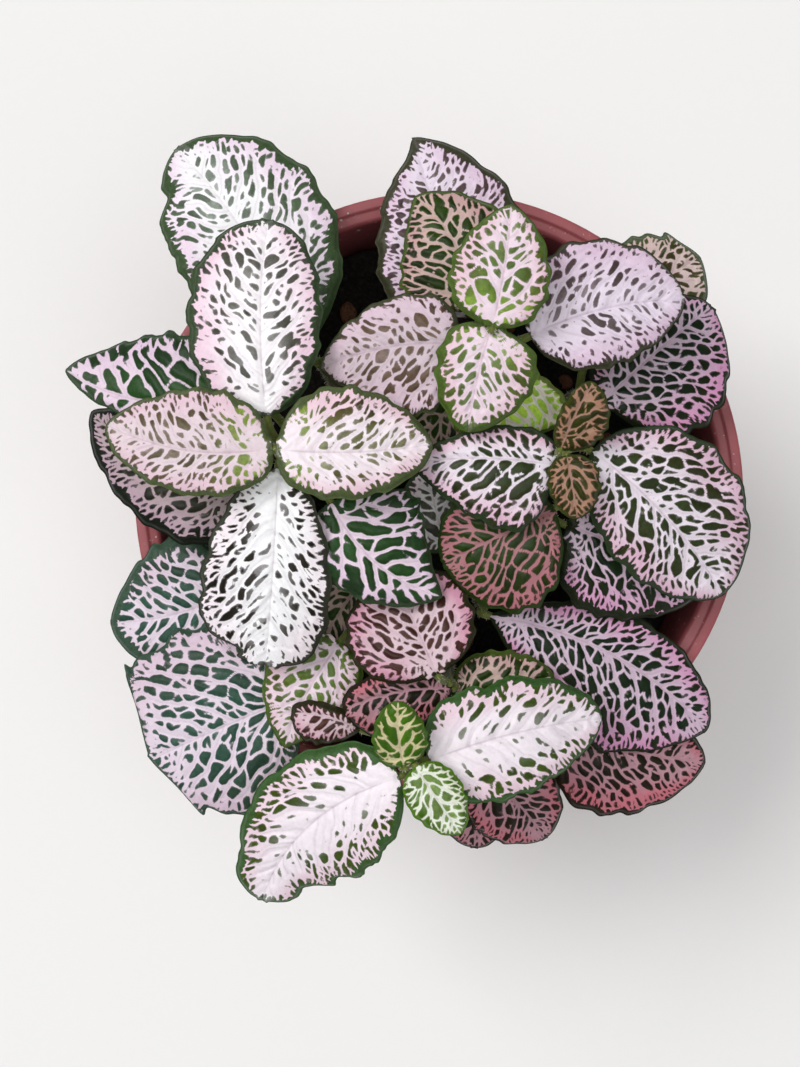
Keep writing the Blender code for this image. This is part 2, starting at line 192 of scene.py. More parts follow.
LOOKS = {
    "snow": Look("#FCF7FA", "#EFCFDF", "#54544A", "#47463A", "#38492E", 1.45, 2.0),
    "frost": Look("#FFFEFF", "#F8ECF1", "#30281E", "#1A180C", "#34382A", 1.4, 2.0),
    "drift": Look("#FAF8FA", "#EFD9EA", "#62705E", "#485840", "#3C5030", 1.6, 2.0),
    # petal is painted shade: its colours are turned darker for a leaf that faces away from the light.
    "petal_painted_shade": Look("#E2D0D6", "#E2C2CE", "#5E543A", "#544632", "#4E5A34", 1.3, 2.0),
    "blush": Look("#F6EAEF", "#EBC9D5", "#60622E", "#4A4026", "#4E5A34", 1.3, 2.0),
    "lilac": Look("#EADCEA", "#E0C4D9", "#584A48", "#4C3A3C", "#3A3A28", 1.3, 2.0),
    "mauve": Look("#D2BFC8", "#DCC2D0", "#604E3C", "#564234", "#3E4228", 1.3, 2.0),
    # dusk is painted shade: its veins, cells and rim are darkened for a leaf that lies under others.
    "dusk_painted_shade": Look("#B8A4A8", "#B89CAA", "#242416", "#101208", "#10160A", 1.5, 1.8),
    "bold": Look("#E8D4E2", "#DCC2D6", "#22441A", "#1E361A", "#34482E", 2.8, 1.7),
    "spring": Look("#ECD8E2", "#E4C0CC", "#586E2E", "#4C5620", "#4C6224", 1.5, 1.7),
    "mint": Look("#E8ECDE", "#DCE0C6", "#708A48", "#3C5E08", "#4E7418", 1.35, 1.9),
    # lime is partly painted light: its greens are pushed brighter than the leaf's own, for a leaf that lies
    # in the shade of others.
    "lime_painted_light": Look("#FFFAEE", "#FAECDC", "#C4EC58", "#A8D048", "#6A7C34", 1.7, 1.7),
    "sprout": Look("#D2C89C", "#BCB284", "#3C6408", "#345A06", "#3E6010", 1.6, 1.8),
    "olive": Look("#CCB2A8", "#C49C9A", "#223A00", "#1C2800", "#44561E", 1.7, 1.7),
    "ember": Look("#A87478", "#AE6C76", "#203406", "#202A04", "#263A0E", 1.5, 1.8),
    "plum": Look("#CEB8C8", "#D294BA", "#0E200A", "#161E06", "#1C2410", 1.6, 1.7),
    "rust": Look("#A47E66", "#A27660", "#2C2E08", "#282806", "#363E12", 1.35, 1.8),
    "rose": Look("#DAC0C8", "#D094AA", "#42241A", "#3C1E16", "#2C2A14", 1.4, 1.9),
    "wine": Look("#B68A94", "#C06C78", "#1A1604", "#1E0E04", "#261C10", 1.35, 1.8),
    "faded": Look("#D2BCB8", "#CEB4AE", "#3E361A", "#3A441C", "#4A563A", 1.35, 1.7),
    "bride": Look("#EADFE8", "#DDB4C8", "#2C3618", "#2A2C12", "#2C3A22", 1.5, 1.8),
    "veil": Look("#F6ECF2", "#EACEDA", "#3C5020", "#3A4A10", "#38582A", 1.6, 1.8),
    "teal": Look("#E4D6E2", "#DAC2D2", "#2C4C3E", "#324638", "#3A5040", 1.9, 1.7),
}

# A leaf runs from the base of its blade to its tip. bow is how far its midrib swings to the left of
# that line, left and right are its half widths, and round_base and round_tip say how its outline
# closes: 0.5 is an ellipse's end, more is pointed, less is blunt. green is the share of the blade that is
# green, by the midrib in its lower and upper half, and then towards the margin in both. rim is the width
# of the green band along the margin. A nick is a notch in the margin, or a lobe where its depth is
# negative: (side, place along the blade, depth, reach along the blade).
Leaf = namedtuple("Leaf", "base tip bow left right round_base round_tip look green rim nicks",
                  defaults=((),))

# A shoot is a stem from its root in the soil to its crown, and its leaves, youngest first.
Shoot = namedtuple("Shoot", "name root crown leaves")

SHOOTS = (
    Shoot("leafy_stem_left", (-23, 5), (-29, 7, 139), (
        Leaf((-29.4, 7, 140), (-59, 11.5, 134), 2.5, 7.5, 11.0, 0.42, 0.60,
             "petal_painted_shade", (0.34, 0.30, 0.42, 0.38), 1.1),
        Leaf((-28.8, 6.8, 140), (-2, 8, 135), -1.0, 11.5, 8.0, 0.42, 0.60,
             "blush", (0.18, 0.30, 0.36, 0.40), 1.4),
        Leaf((-31, 13, 134), (-31, 48, 130), 1.0, 13.0, 10.5, 0.45, 0.45,
             "snow", (0.20, 0.34, 0.30, 0.40), 1.5),
        Leaf((-29, 4, 134), (-32.5, -31.5, 120), 0.5, 10.5, 13.0, 0.55, 0.30,
             "frost", (0.14, 0.24, 0.36, 0.42), 1.1,
             ((-1, 0.94, 4.5, 0.04),)),
        Leaf((-38, 17, 126), (-70, 23, 116), 3.5, 3.5, 13.0, 0.35, 0.62,
             "bold", (0.68, 0.36, 0.68, 0.38), 1.1),
        Leaf((-20, -2, 128), (0, -19, 124), -3.0, 13.5, 8.0, 0.45, 0.90,
             "bold", (0.62, 0.45, 0.58, 0.66), 0.8),
        Leaf((-37, -2, 116), (-67, 16, 107), 2.0, 11.0, 11.0, 0.30, 0.70,
             "dusk_painted_shade", (0.58, 0.42, 0.45, 0.58), 1.8),
    )),
    Shoot("leafy_stem_back_left", (-21, 23), (-23, 25, 110), (
        Leaf((-26, 28, 113), (-51, 67, 105), -2.0, 14.5, 17.0, 0.65, 0.60,
             "drift", (0.28, 0.26, 0.45, 0.42), 1.9,
             ((1, 0.85, 2.0, 0.04), (1, 0.60, 1.2, 0.04))),
    )),
    Shoot("leafy_stem_back", (9, 21), (8, 28, 141), (
        Leaf((7.8, 27.4, 143), (11, 48, 143), -0.5, 9.0, 8.0, 0.45, 0.72,
             "spring", (0.42, 0.36, 0.46, 0.42), 1.0),
        Leaf((8, 28, 140), (4, 10, 136), -0.5, 10.0, 7.5, 0.35, 0.60,
             "spring", (0.36, 0.32, 0.36, 0.46), 1.4),
        Leaf((2.5, 25.5, 134), (-22, 22, 126), -1.5, 12.5, 9.0, 0.35, 0.75,
             "mauve", (0.40, 0.24, 0.34, 0.30), 0.9),
        Leaf((15, 27, 134), (43.3, 34.2, 127), 1.5, 12.8, 10.0, 0.45, 0.60,
             "lilac", (0.28, 0.20, 0.26, 0.26), 1.0),
        Leaf((6, 33, 126), (-5, 54, 122), -2.0, 12.0, 11.5, 0.35, 0.75,
             "olive", (0.72, 0.60, 0.72, 0.56), 0.9),
        Leaf((11, 23, 125), (12, 10, 121), 0.0, 11.5, 10.0, 0.70, 0.35,
             "lime_painted_light", (0.62, 0.55, 0.60, 0.45), 1.0),
        Leaf((0, 33, 116), (-5.5, 67, 113), -1.5, 11.5, 18.0, 0.30, 0.70,
             "lilac", (0.45, 0.38, 0.66, 0.48), 1.8,
             ((1, 0.90, 2.0, 0.10),)),
        Leaf((5, 20, 119), (-5, 8, 116), 0.0, 6.5, 6.5, 0.45, 0.60,
             "olive", (0.50, 0.70, 0.60, 0.80), 1.0),
    )),
    Shoot("leafy_stem_back_right", (27, 20), (29, 19, 115), (
        Leaf((30, 17, 117), (52, 36, 108), 0.5, 9.5, 16.5, 0.45, 0.55,
             "plum", (0.68, 0.58, 0.64, 0.52), 1.2),
        Leaf((34, 37, 109), (50.5, 46.3, 104), -0.5, 10.0, 11.5, 0.45, 0.65,
             "faded", (0.52, 0.46, 0.62, 0.54), 1.2,
             ((1, 0.85, -1.5, 0.06),)),
    )),
    Shoot("leafy_stem_right", (16, 4), (21, 7, 136), (
        Leaf((20, 7, 137), (25, 18, 143), 0.5, 2.5, 6.0, 0.45, 0.50,
             "rust", (0.66, 0.62, 0.66, 0.62), 0.5),
        Leaf((21, 6, 137), (23, -5, 136), 0.0, 5.0, 4.0, 0.40, 0.55,
             "rust", (0.62, 0.60, 0.62, 0.62), 0.5),
        Leaf((19.5, 4.5, 132), (-6, 5, 128), -1.0, 12.5, 6.0, 0.30, 0.80,
             "bride", (0.62, 0.36, 0.56, 0.42), 1.0),
        Leaf((26, 7, 132), (52, -19, 118), 1.5, 15.2, 11.5, 0.60, 0.62,
             "bride", (0.52, 0.44, 0.52, 0.46), 1.0),
        Leaf((20, -3, 126), (0, -13, 122), 0.0, 14.5, 10.0, 0.55, 0.55,
             "ember", (0.84, 0.64, 0.68, 0.64), 1.0),
        Leaf((23, -6, 119), (48, -20, 111), 1.5, 13.5, 13.5, 0.35, 0.60,
             "plum", (0.70, 0.70, 0.60, 0.54), 2.0),
    )),
    Shoot("leafy_stem_middle", (3, -13), (2, -13, 110), (
        Leaf((1, -11, 112), (-3, 5, 112), 0.0, 7.0, 7.0, 0.45, 0.60,
             "snow", (0.50, 0.44, 0.50, 0.44), 1.0),
    )),
    Shoot("leafy_stem_front_middle", (2, -33), (1, -35, 120), (
        Leaf((-1, -33, 124), (-9, -15, 118.5), 0.0, 13.0, 11.0, 0.40, 0.40,
             "rose", (0.46, 0.36, 0.44, 0.38), 1.1),
        Leaf((2, -37, 117), (21, -34, 116), -0.5, 7.0, 7.0, 0.40, 0.60,
             "olive", (0.70, 0.45, 0.60, 0.50), 1.0),
        Leaf((2, -36, 120), (-18, -40, 119.5), -1.5, 8.0, 4.0, 0.60, 0.40,
             "wine", (0.76, 0.55, 0.78, 0.60), 0.8),
    )),
    Shoot("leafy_stem_front_right", (8, -20), (8, -22, 111), (
        Leaf((9, -23, 113), (52, -46, 103), 4.5, 8.5, 17.5, 0.90, 0.65,
             "plum", (0.62, 0.48, 0.62, 0.46), 1.1),
    )),
    Shoot("leafy_stem_inner_left", (-11, -20), (-12, -22, 108), (
        Leaf((-19, -28, 113.5), (-29.5, -48, 112), -1.0, 8.5, 10.0, 0.35, 0.80,
             "spring", (0.48, 0.36, 0.48, 0.42), 1.1),
        Leaf((-15, -16, 107), (-24, -30, 105), 0.0, 5.0, 6.0, 0.45, 0.60,
             "olive", (0.55, 0.55, 0.55, 0.55), 1.0),
    )),
    Shoot("leafy_stem_front_left", (-28, -24), (-31, -27, 103), (
        Leaf((-26, -38, 109), (-55.8, -51.2, 106), -0.5, 18.0, 20.0, 0.90, 0.80,
             "teal", (0.60, 0.40, 0.58, 0.36), 1.0,
             ((-1, 0.86, -6.0, 0.10), (-1, 0.90, -4.0, 0.025),
              (1, 0.875, -4.3, 0.045), (1, 0.55, -1.5, 0.08))),
        Leaf((-38, -18, 105), (-64.5, -25, 101), 1.5, 13.0, 14.5, 0.45, 0.65,
             "teal", (0.45, 0.45, 0.55, 0.60), 2.2),
    )),
    Shoot("leafy_stem_front", (-6, -45), (-7, -48, 134), (
        Leaf((-7, -48, 135), (-8, -36, 140), 0.5, 4.5, 5.0, 0.40, 0.60,
             "sprout", (0.62, 0.64, 0.66, 0.70), 0.6),
        Leaf((-5, -48, 135), (3, -60, 134), 0.0, 5.0, 5.0, 0.45, 0.65,
             "mint", (0.52, 0.58, 0.58, 0.68), 0.5),
        Leaf((-7.8, -50.5, 131), (-33.7, -76.8, 112), -4.8, 13.2, 11.2, 0.40, 0.45,
             "veil", (0.06, 0.08, 0.58, 0.56), 1.6,
             ((-1, 0.78, 1.2, 0.12), (1, 0.66, 1.6, 0.05), (1, 0.84, 3.0, 0.10))),
        Leaf((-2.5, -47.5, 131), (29.5, -41.5, 119), 1.5, 10.0, 11.5, 0.35, 0.55,
             "veil", (0.06, 0.12, 0.34, 0.50), 1.3,
             ((1, 0.38, 1.2, 0.05),)),
        Leaf((-15, -44, 116.5), (-28, -41, 115.5), -1.0, 5.5, 2.5, 0.60, 0.35,
             "rose", (0.55, 0.40, 0.62, 0.45), 1.0),
    )),
    Shoot("leafy_stem_low_right", (12, -41), (13, -45, 104), (
        Leaf((23, -47, 104), (53, -53, 97), 0.0, 11.0, 13.5, 0.35, 0.65,
             "wine", (0.60, 0.42, 0.52, 0.46), 1.2),
        Leaf((7, -52, 108), (21, -68, 98), 1.0, 9.0, 9.5, 0.45, 0.55,
             "wine", (0.66, 0.52, 0.50, 0.52), 0.8),
        Leaf((3, -51, 104), (7, -70, 97), 1.5, 7.5, 7.5, 0.50, 0.50,
             "wine", (0.60, 0.58, 0.64, 0.64), 0.8),
    )),
)


def linear(colour):
    """An sRGB hex colour as linear red, green and blue."""
    parts = [int(colour[i:i + 2], 16) / 255 for i in (1, 3, 5)]
    return tuple(part / 12.92 if part <= 0.04045 else ((part + 0.055) / 1.055) ** 2.4 for part in parts)


# Settings

class PotSettings(PropertyGroup):
    """What can be set of the pot"""
    segments: IntProperty(name="Segments", description="Steps round the pot", default=160, min=24, max=400)
    plastic: FloatVectorProperty(
        name="Plastic", description="Colour of the moulded plastic", subtype="COLOR", size=3,
        min=0, max=1, default=linear("#9C4E53"))
    # The soil stain colour is also painted shade inside the pot.
    stain_and_shade: FloatVectorProperty(
        name="Soil stain", description="Colour of the film that watering leaves inside", subtype="COLOR",
        size=3, min=0, max=1, default=linear("#3A1A18"))
    limescale: FloatVectorProperty(
        name="Limescale", description="Colour of dried water marks under the rim", subtype="COLOR",
        size=3, min=0, max=1, default=linear("#C9B4AE"))


class SoilSettings(PropertyGroup):
    """What can be set of the soil and what lies on it"""
    peat: FloatVectorProperty(
        name="Peat", description="Colour of the moist peat", subtype="COLOR", size=3,
        min=0, max=1, default=linear("#120E0C"))
    crumbs: IntProperty(name="Peat crumbs", description="Loose crumbs on top", default=420, min=0)
    granules: IntProperty(name="Perlite", description="Perlite granules on top", default=34, min=0)
    chips: IntProperty(name="Bark chips", description="Thin chips of bark on top", default=46, min=0)


class StemSettings(PropertyGroup):
    """What can be set of the stems, petioles and down"""
    stem: FloatVectorProperty(
        name="Stem", description="Colour of the older stem", subtype="COLOR", size=3,
        min=0, max=1, default=linear("#6E5A3C"))
    petiole: FloatVectorProperty(
        name="Petiole", description="Colour of petioles and the young stem", subtype="COLOR", size=3,
        min=0, max=1, default=linear("#66702E"))
    hair: FloatProperty(
        name="Hair length", description="Length of the down on stems", unit="LENGTH",
        default=0.8 * MM, min=0)
    hairs: IntProperty(name="Hairs", description="Hairs on each stem", default=110, min=0)


class LeafSettings(PropertyGroup):
    """What can be set of all the blades"""
    step: FloatProperty(
        name="Mesh step", description="Distance between the points of a large blade's upper side",
        unit="LENGTH", default=0.31 * MM, min=0.1 * MM)
    pleat: FloatProperty(
        name="Pleats", description="How far the blade swells between its side veins", unit="LENGTH",
        default=0.28 * MM, min=0)
    quilt: FloatProperty(
        name="Quilting", description="How far each green cell stands above its veins", unit="LENGTH",
        default=0.10 * MM, min=0)
    underside: FloatVectorProperty(
        name="Underside", description="Colour of the blade's underside", subtype="COLOR", size=3,
        min=0, max=1, default=linear("#8C9A78"))
    underside_vein: FloatVectorProperty(
        name="Underside veins", description="Colour of the veins below", subtype="COLOR", size=3,
        min=0, max=1, default=linear("#C9B7AE"))


class StageSettings(PropertyGroup):
    """What can be set of the camera, the floor and the light"""
    floor: FloatVectorProperty(
        name="Floor", description="Colour of the floor", subtype="COLOR", size=3,
        min=0, max=1, default=linear("#F4F3F1"))
    camera_height: FloatProperty(
        name="Camera height", description="Height of the camera over the pot's base", unit="LENGTH",
        default=0.4, min=0.2)
    daylight: FloatProperty(
        name="Window", description="Power of the soft window light", unit="POWER", default=16.0, min=0)
    skylight: FloatProperty(
        name="Sky", description="Strength of the light from all round", default=0.30, min=0)


# Tools shared by the pieces

def add_node(material, kind, inputs, take=None, **settings):
    """Adds a shader node with its settings. inputs gives each socket a value, or the output that feeds
    it. Returns the output named in take, or the first one."""
    tree = material.node_tree
    node = tree.nodes.new(kind)
    for name, value in settings.items():
        setattr(node, name, value)
    sockets = {socket.identifier: socket for socket in node.inputs}
    for name, value in inputs.items():
        if isinstance(value, bpy.types.NodeSocket):
            tree.links.new(value, sockets[name])
        else:
            sockets[name].default_value = value
    outputs = {socket.identifier: socket for socket in node.outputs}
    return outputs[take] if take else node.outputs[0]


def new_material(name, inputs):
    """A material with a lone Principled shader, and the object coordinates that its patterns lie in.
    inputs are the shader's sockets that hold one value all over."""
    material = bpy.data.materials.new(name)
    material.use_nodes = True
    shader = material.node_tree.nodes["Principled BSDF"]
    for socket, value in inputs.items():
        shader.inputs[socket].default_value = value
    return material, add_node(material, "ShaderNodeTexCoord", {}, take="Object")


def feed(material, links):
    """Links outputs to the sockets of the material's shader."""
    shader = material.node_tree.nodes["Principled BSDF"]
    for socket, output in links.items():
        material.node_tree.links.new(output, shader.inputs[socket])


def per_metre(size):
    """The scale of a pattern whose features are size millimetres across."""
    return 1 / (size * MM)


def add_object(name, data):
    """Adds an object to the scene."""
    item = bpy.data.objects.new(name, data)
    bpy.context.scene.collection.objects.link(item)
    return item


def add_piece(name, mesh, materials, node, smooth=True):
    """Adds a piece that stands for a CAD node and rides on the plant's body."""
    mesh.polygons.foreach_set("use_smooth", [smooth] * len(mesh.polygons))
    for material in materials:
        mesh.materials.append(material)
    piece = add_object(name, mesh)
    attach(piece, "root")
    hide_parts(node)
    return piece


def new_mesh(name, points, faces):
    """A mesh of points in millimetres."""
    mesh = bpy.data.meshes.new(name)
    mesh.from_pydata((np.asarray(points) * MM).tolist(), [], faces)
    return mesh


def ball(detail):
    """Points and faces of a ball 1 mm across."""
    shape = bmesh.new()
    bmesh.ops.create_icosphere(shape, subdivisions=detail, radius=0.5)
    points = np.array([vert.co for vert in shape.verts])
    faces = [tuple(vert.index for vert in face.verts) for face in shape.faces]
    shape.free()
    return points, faces


def unit(vectors, least=0.0):
    """The vectors brought to unit length. least keeps one that has no length from dividing by nothing."""
    return vectors / (np.linalg.norm(vectors, axis=-1, keepdims=True) + least)


def bend(start, corner, end, t):
    """The point at t, from 0 to 1, of a curve from start to end that is drawn towards corner."""
    return (1 - t) ** 2 * start + 2 * t * (1 - t) * corner + t ** 2 * end


def wander(x, y, size, rng):
    """Smooth noise from about -1 to 1, whose swells are about size across."""
    total = np.zeros(np.broadcast(x, y).shape)
    for _ in range(7):
        turn = rng.uniform(0, 2 * pi)
        wave = 2 * size * rng.uniform(0.7, 1.5)
        total = total + np.sin(2 * pi * (x * cos(turn) + y * sin(turn)) / wave + rng.uniform(0, 2 * pi))
    return total / 2.6


def smooth_step(low, high, value):
    """0 up to low and 1 from high on, with a smooth rise between."""
    share = np.clip((value - low) / (high - low), 0, 1)
    return share * share * (3 - 2 * share)


def mix(first, second, share):
    """Blends two colours, or arrays of them, by an array of shares."""
    share = np.asarray(share)[..., None]
    return np.asarray(first) * (1 - share) + np.asarray(second) * share


# The pot

def inner_radius(height):
    """The radius of the pot's inner wall at a height."""
    top = RIM_RADIUS - COLLAR_WIDTH - WALL / 2
    bottom = BASE_RADIUS - WALL
    return bottom + (top - bottom) * (height - FLOOR) / (POT_HEIGHT - FLOOR)


def rounded(points, radii):
    """A profile with an arc in place of each corner that has a radius, all the way round."""
    profile = []
    for i, (corner, radius) in enumerate(zip(points, radii)):
        here = Vector(corner)
        if radius == 0:
            profile.append(here)
            continue
        before = Vector(points[i - 1]) - here
        after = Vector(points[(i + 1) % len(points)]) - here
        reach = min(radius, 0.45 * before.length, 0.45 * after.length)
        start = here + before.normalized() * reach
        end = here + after.normalized() * reach
        profile.extend(bend(start, here, end, k / 3) for k in range(4))
    return profile


def pot_profile():
    """The (radius, height) outline of the pot's wall, as its CAD solid has it but with rounded edges."""
    collar_bottom = POT_HEIGHT - COLLAR_HEIGHT
    under_rim = POT_HEIGHT - WALL
    inside = inner_radius(POT_HEIGHT)
    outside = inside + WALL
    lip = RIM_RADIUS - 2.0
    recess_outer = BASE_RADIUS - FOOT_WIDTH
    corners = (
        (RIM_RADIUS - 0.25, POT_HEIGHT, 0.5),
        (RIM_RADIUS, POT_HEIGHT - 0.6, 0.3),
        (RIM_RADIUS - 0.5, collar_bottom + 1.2, 0.3),
        (RIM_RADIUS - 0.6, collar_bottom, 0.4),
        (RIM_RADIUS - 0.6 - WALL, collar_bottom, 0.4),
        (RIM_RADIUS - WALL, under_rim, 0.4),
        (outside, under_rim, 0.4),
        (outside - 0.8, collar_bottom - 3.0, 0.8),
        (BASE_RADIUS + 0.3, 1.5, 1.0),
        (BASE_RADIUS - 0.7, 0.0, 0.5),
        (recess_outer, 0.0, 0.4),
        (recess_outer - RECESS_DEPTH, RECESS_DEPTH, 0.4),
        (CENTRE_PAD_RADIUS + RECESS_DEPTH, RECESS_DEPTH, 0.4),
        (CENTRE_PAD_RADIUS, 0.0, 0.4),
        (0.0, 0.0, 0),
        (0.0, FLOOR, 0),
        (inner_radius(FLOOR + FLOOR_ROUND) - FLOOR_ROUND, FLOOR, 0.8),
        (inner_radius(FLOOR + FLOOR_ROUND), FLOOR + FLOOR_ROUND, 0.8),
        (inner_radius(collar_bottom), collar_bottom, 0.4),
        (inside, POT_HEIGHT - 1.4, 0.5),
        (inside + 0.5, POT_HEIGHT - 0.7, 0.4),
        (lip - 0.4, POT_HEIGHT - 0.5, 0.3),
        (lip, POT_HEIGHT - 0.05, 0.3),
    )
    return rounded([corner[:2] for corner in corners], [corner[2] for corner in corners])


def turned_mesh(name, profile, segments):
    """A mesh of the profile turned about Z, joined on the axis."""
    mesh = bpy.data.meshes.new(name)
    shape = bmesh.new()
    verts = [shape.verts.new((radius * MM, 0, height * MM)) for radius, height in profile]
    edges = []
    for i, vert in enumerate(verts):
        after = verts[(i + 1) % len(verts)]
        if max(vert.co.x, after.co.x) > 0:
            edges.append(shape.edges.new((vert, after)))
    bmesh.ops.spin(shape, geom=verts + edges, cent=(0, 0, 0), axis=(0, 0, 1), angle=2 * pi,
                   steps=segments, use_merge=True)
    bmesh.ops.remove_doubles(shape, verts=shape.verts, dist=0.000002)
    bmesh.ops.recalc_face_normals(shape, faces=shape.faces)
    shape.to_mesh(mesh)
    shape.free()
    return mesh


def moulded_polypropylene(settings):
    """Injection-moulded polypropylene: a soft, slightly waxy sheen with a fine mould texture, scuffed
    where pots are stacked, stained by soil water inside with painted shade that deepens towards the soil,
    and spotted with limescale near the rim."""
    material, place = new_material("moulded_polypropylene", {"IOR": 1.49, "Specular IOR Level": 0.4})
    height = add_node(material, "ShaderNodeSeparateXYZ", {"Vector": place}, take="Z")
    inward = add_node(material, "ShaderNodeVectorMath", {"Vector": place, "Vector_001": (1, 1, 0)},
                      operation="MULTIPLY")
    normal = add_node(material, "ShaderNodeNewGeometry", {}, take="Normal")
    facing = add_node(material, "ShaderNodeVectorMath", {"Vector": inward, "Vector_001": normal},
                      operation="DOT_PRODUCT", take="Value")
    # The stain covers faces that look at the axis, from the soil up, and thins out below the rim. It is soil
    # stain and painted shade, darker the deeper it lies in the pot.
    inside = add_node(material, "ShaderNodeMapRange", {
        "Value": facing, "From Min": 0.0, "From Max": -0.02})
    climb = add_node(material, "ShaderNodeMapRange", {
        "Value": height, "From Min": (POT_HEIGHT - 1.5) * MM, "From Max": (SOIL_TOP + 1) * MM,
        "To Min": 0.25, "To Max": 0.92})
    cloud = add_node(material, "ShaderNodeTexNoise", {
        "Vector": place, "Scale": per_metre(7), "Detail": 6.0, "Roughness": 0.65})
    patchy = add_node(material, "ShaderNodeMapRange", {
        "Value": cloud, "From Min": 0.35, "From Max": 0.7, "To Min": 0.7, "To Max": 1.0})
    stained_and_shaded = add_node(material, "ShaderNodeMath", {"Value": inside, "Value_001": climb},
                       operation="MULTIPLY")
    stained_and_shaded = add_node(material, "ShaderNodeMath", {"Value": stained_and_shaded, "Value_001": patchy},
                       operation="MULTIPLY")
    # Pigment that was not mixed quite evenly gives the plastic faint clouds.
    tone = add_node(material, "ShaderNodeMapRange", {
        "Value": cloud, "From Min": 0.3, "From Max": 0.7, "To Min": 0.9, "To Max": 1.12})
    body = add_node(material, "ShaderNodeHueSaturation", {
        "Color": (*settings.plastic, 1), "Value": tone})
    colour = add_node(material, "ShaderNodeMix", {
        "Factor_Float": stained_and_shaded, "A_Color": body, "B_Color": (*settings.stain_and_shade, 1)},
        data_type="RGBA", take="Result_Color")
    # Scuffs are short pale scratches round the pot, and limescale sits in small spots near the rim.
    stretched = add_node(material, "ShaderNodeVectorMath", {"Vector": place, "Vector_001": (1, 1, 6)},
                         operation="MULTIPLY")
    scratch = add_node(material, "ShaderNodeTexNoise", {
        "Vector": stretched, "Scale": per_metre(2.2), "Detail": 4.0, "Roughness": 0.8})
    scuffed = add_node(material, "ShaderNodeMapRange", {
        "Value": scratch, "From Min": 0.63, "From Max": 0.78, "To Min": 0.0, "To Max": 0.3})
    spots = add_node(material, "ShaderNodeTexNoise", {
        "Vector": place, "Scale": per_metre(1.3), "Detail": 3.0, "Roughness": 0.7})
    spotted = add_node(material, "ShaderNodeMapRange", {
        "Value": spots, "From Min": 0.66, "From Max": 0.72})
    rim = add_node(material, "ShaderNodeMapRange", {
        "Value": height, "From Min": (POT_HEIGHT - 14) * MM, "From Max": (POT_HEIGHT - 4) * MM})
    spotted = add_node(material, "ShaderNodeMath", {"Value": spotted, "Value_001": rim},
                       operation="MULTIPLY")
    worn = add_node(material, "ShaderNodeMath", {"Value": spotted, "Value_001": scuffed},
                    operation="MAXIMUM")
    colour = add_node(material, "ShaderNodeMix", {
        "Factor_Float": worn, "A_Color": colour, "B_Color": (*settings.limescale, 1)},
        data_type="RGBA", take="Result_Color")
    rough = add_node(material, "ShaderNodeMapRange", {
        "Value": scratch, "From Min": 0.3, "From Max": 0.8, "To Min": 0.38, "To Max": 0.58})
    # The mould's own texture is about 0.1 mm and would not show, so it is drawn 0.5 mm across.
    grain = add_node(material, "ShaderNodeTexNoise", {
        "Vector": place, "Scale": per_metre(0.5), "Detail": 2.0})
    relief = add_node(material, "ShaderNodeBump", {
        "Height": grain, "Strength": 0.25, "Distance": 0.05 * MM})
    feed(material, {"Base Color": colour, "Roughness": rough, "Normal": relief})
    return material


def drain_hole_cutters():
    """Drills in a ring between the pot's centre pad and its foot."""
    ring = (CENTRE_PAD_RADIUS + BASE_RADIUS - FOOT_WIDTH) / 2
    radius = DRAIN_HOLE_RADIUS * MM
    cutters = bpy.data.collections.new("drain_hole_cutters")
    for i in range(DRAIN_HOLES):
        turn = 2 * pi * (i + 0.5) / DRAIN_HOLES
        place = Matrix.Translation(Vector((ring * cos(turn), ring * sin(turn), 0)) * MM)
        drill = bmesh.new()
        bmesh.ops.create_cone(drill, cap_ends=True, segments=32, radius1=radius, radius2=radius,
                              depth=10 * MM, matrix=place)
        mesh = bpy.data.meshes.new("drain_hole_cutter")
        drill.to_mesh(mesh)
        drill.free()
        cutters.objects.link(bpy.data.objects.new("drain_hole_cutter", mesh))
    return cutters


def make_pot(settings):
    """The pot, turned finely, with its drain holes cut through the floor."""
    mesh = turned_mesh("pot", pot_profile(), settings.segments)
    piece = add_piece("pot", mesh, [moulded_polypropylene(settings)], "nursery_pot")
    cutters = drain_hole_cutters()
    cut = piece.modifiers.new("drain_holes", "BOOLEAN")
    cut.operation = "DIFFERENCE"
    cut.solver = "EXACT"
    cut.operand_type = "COLLECTION"
    cut.collection = cutters
    graph = bpy.context.evaluated_depsgraph_get()
    drilled = bpy.data.meshes.new_from_object(piece.evaluated_get(graph), depsgraph=graph)
    piece.modifiers.clear()
    piece.data = drilled
    for cutter in list(cutters.objects):
        bpy.data.objects.remove(cutter)
    bpy.data.collections.remove(cutters)
    drilled.set_sharp_from_angle(angle=0.6)


# The soil

def soil_height(x, y):
    """The lumpy top of the soil, a little lower at the pot's wall."""
    lumps = np.sin(0.31 * x + 1.0) * np.cos(0.27 * y) + 0.6 * np.sin(0.53 * y + 0.4 * x)
    return SOIL_TOP + SOIL_ROUGHNESS * lumps - 0.0006 * (x * x + y * y)


def crumbly_height(x, y):
    """The soil's top with its crumbs."""
    rng = np.random.default_rng(5)
    crumbs = 0.35 * wander(x, y, 3.0, rng) + 0.25 * np.abs(wander(x, y, 1.4, rng))
    return soil_height(x, y) + crumbs


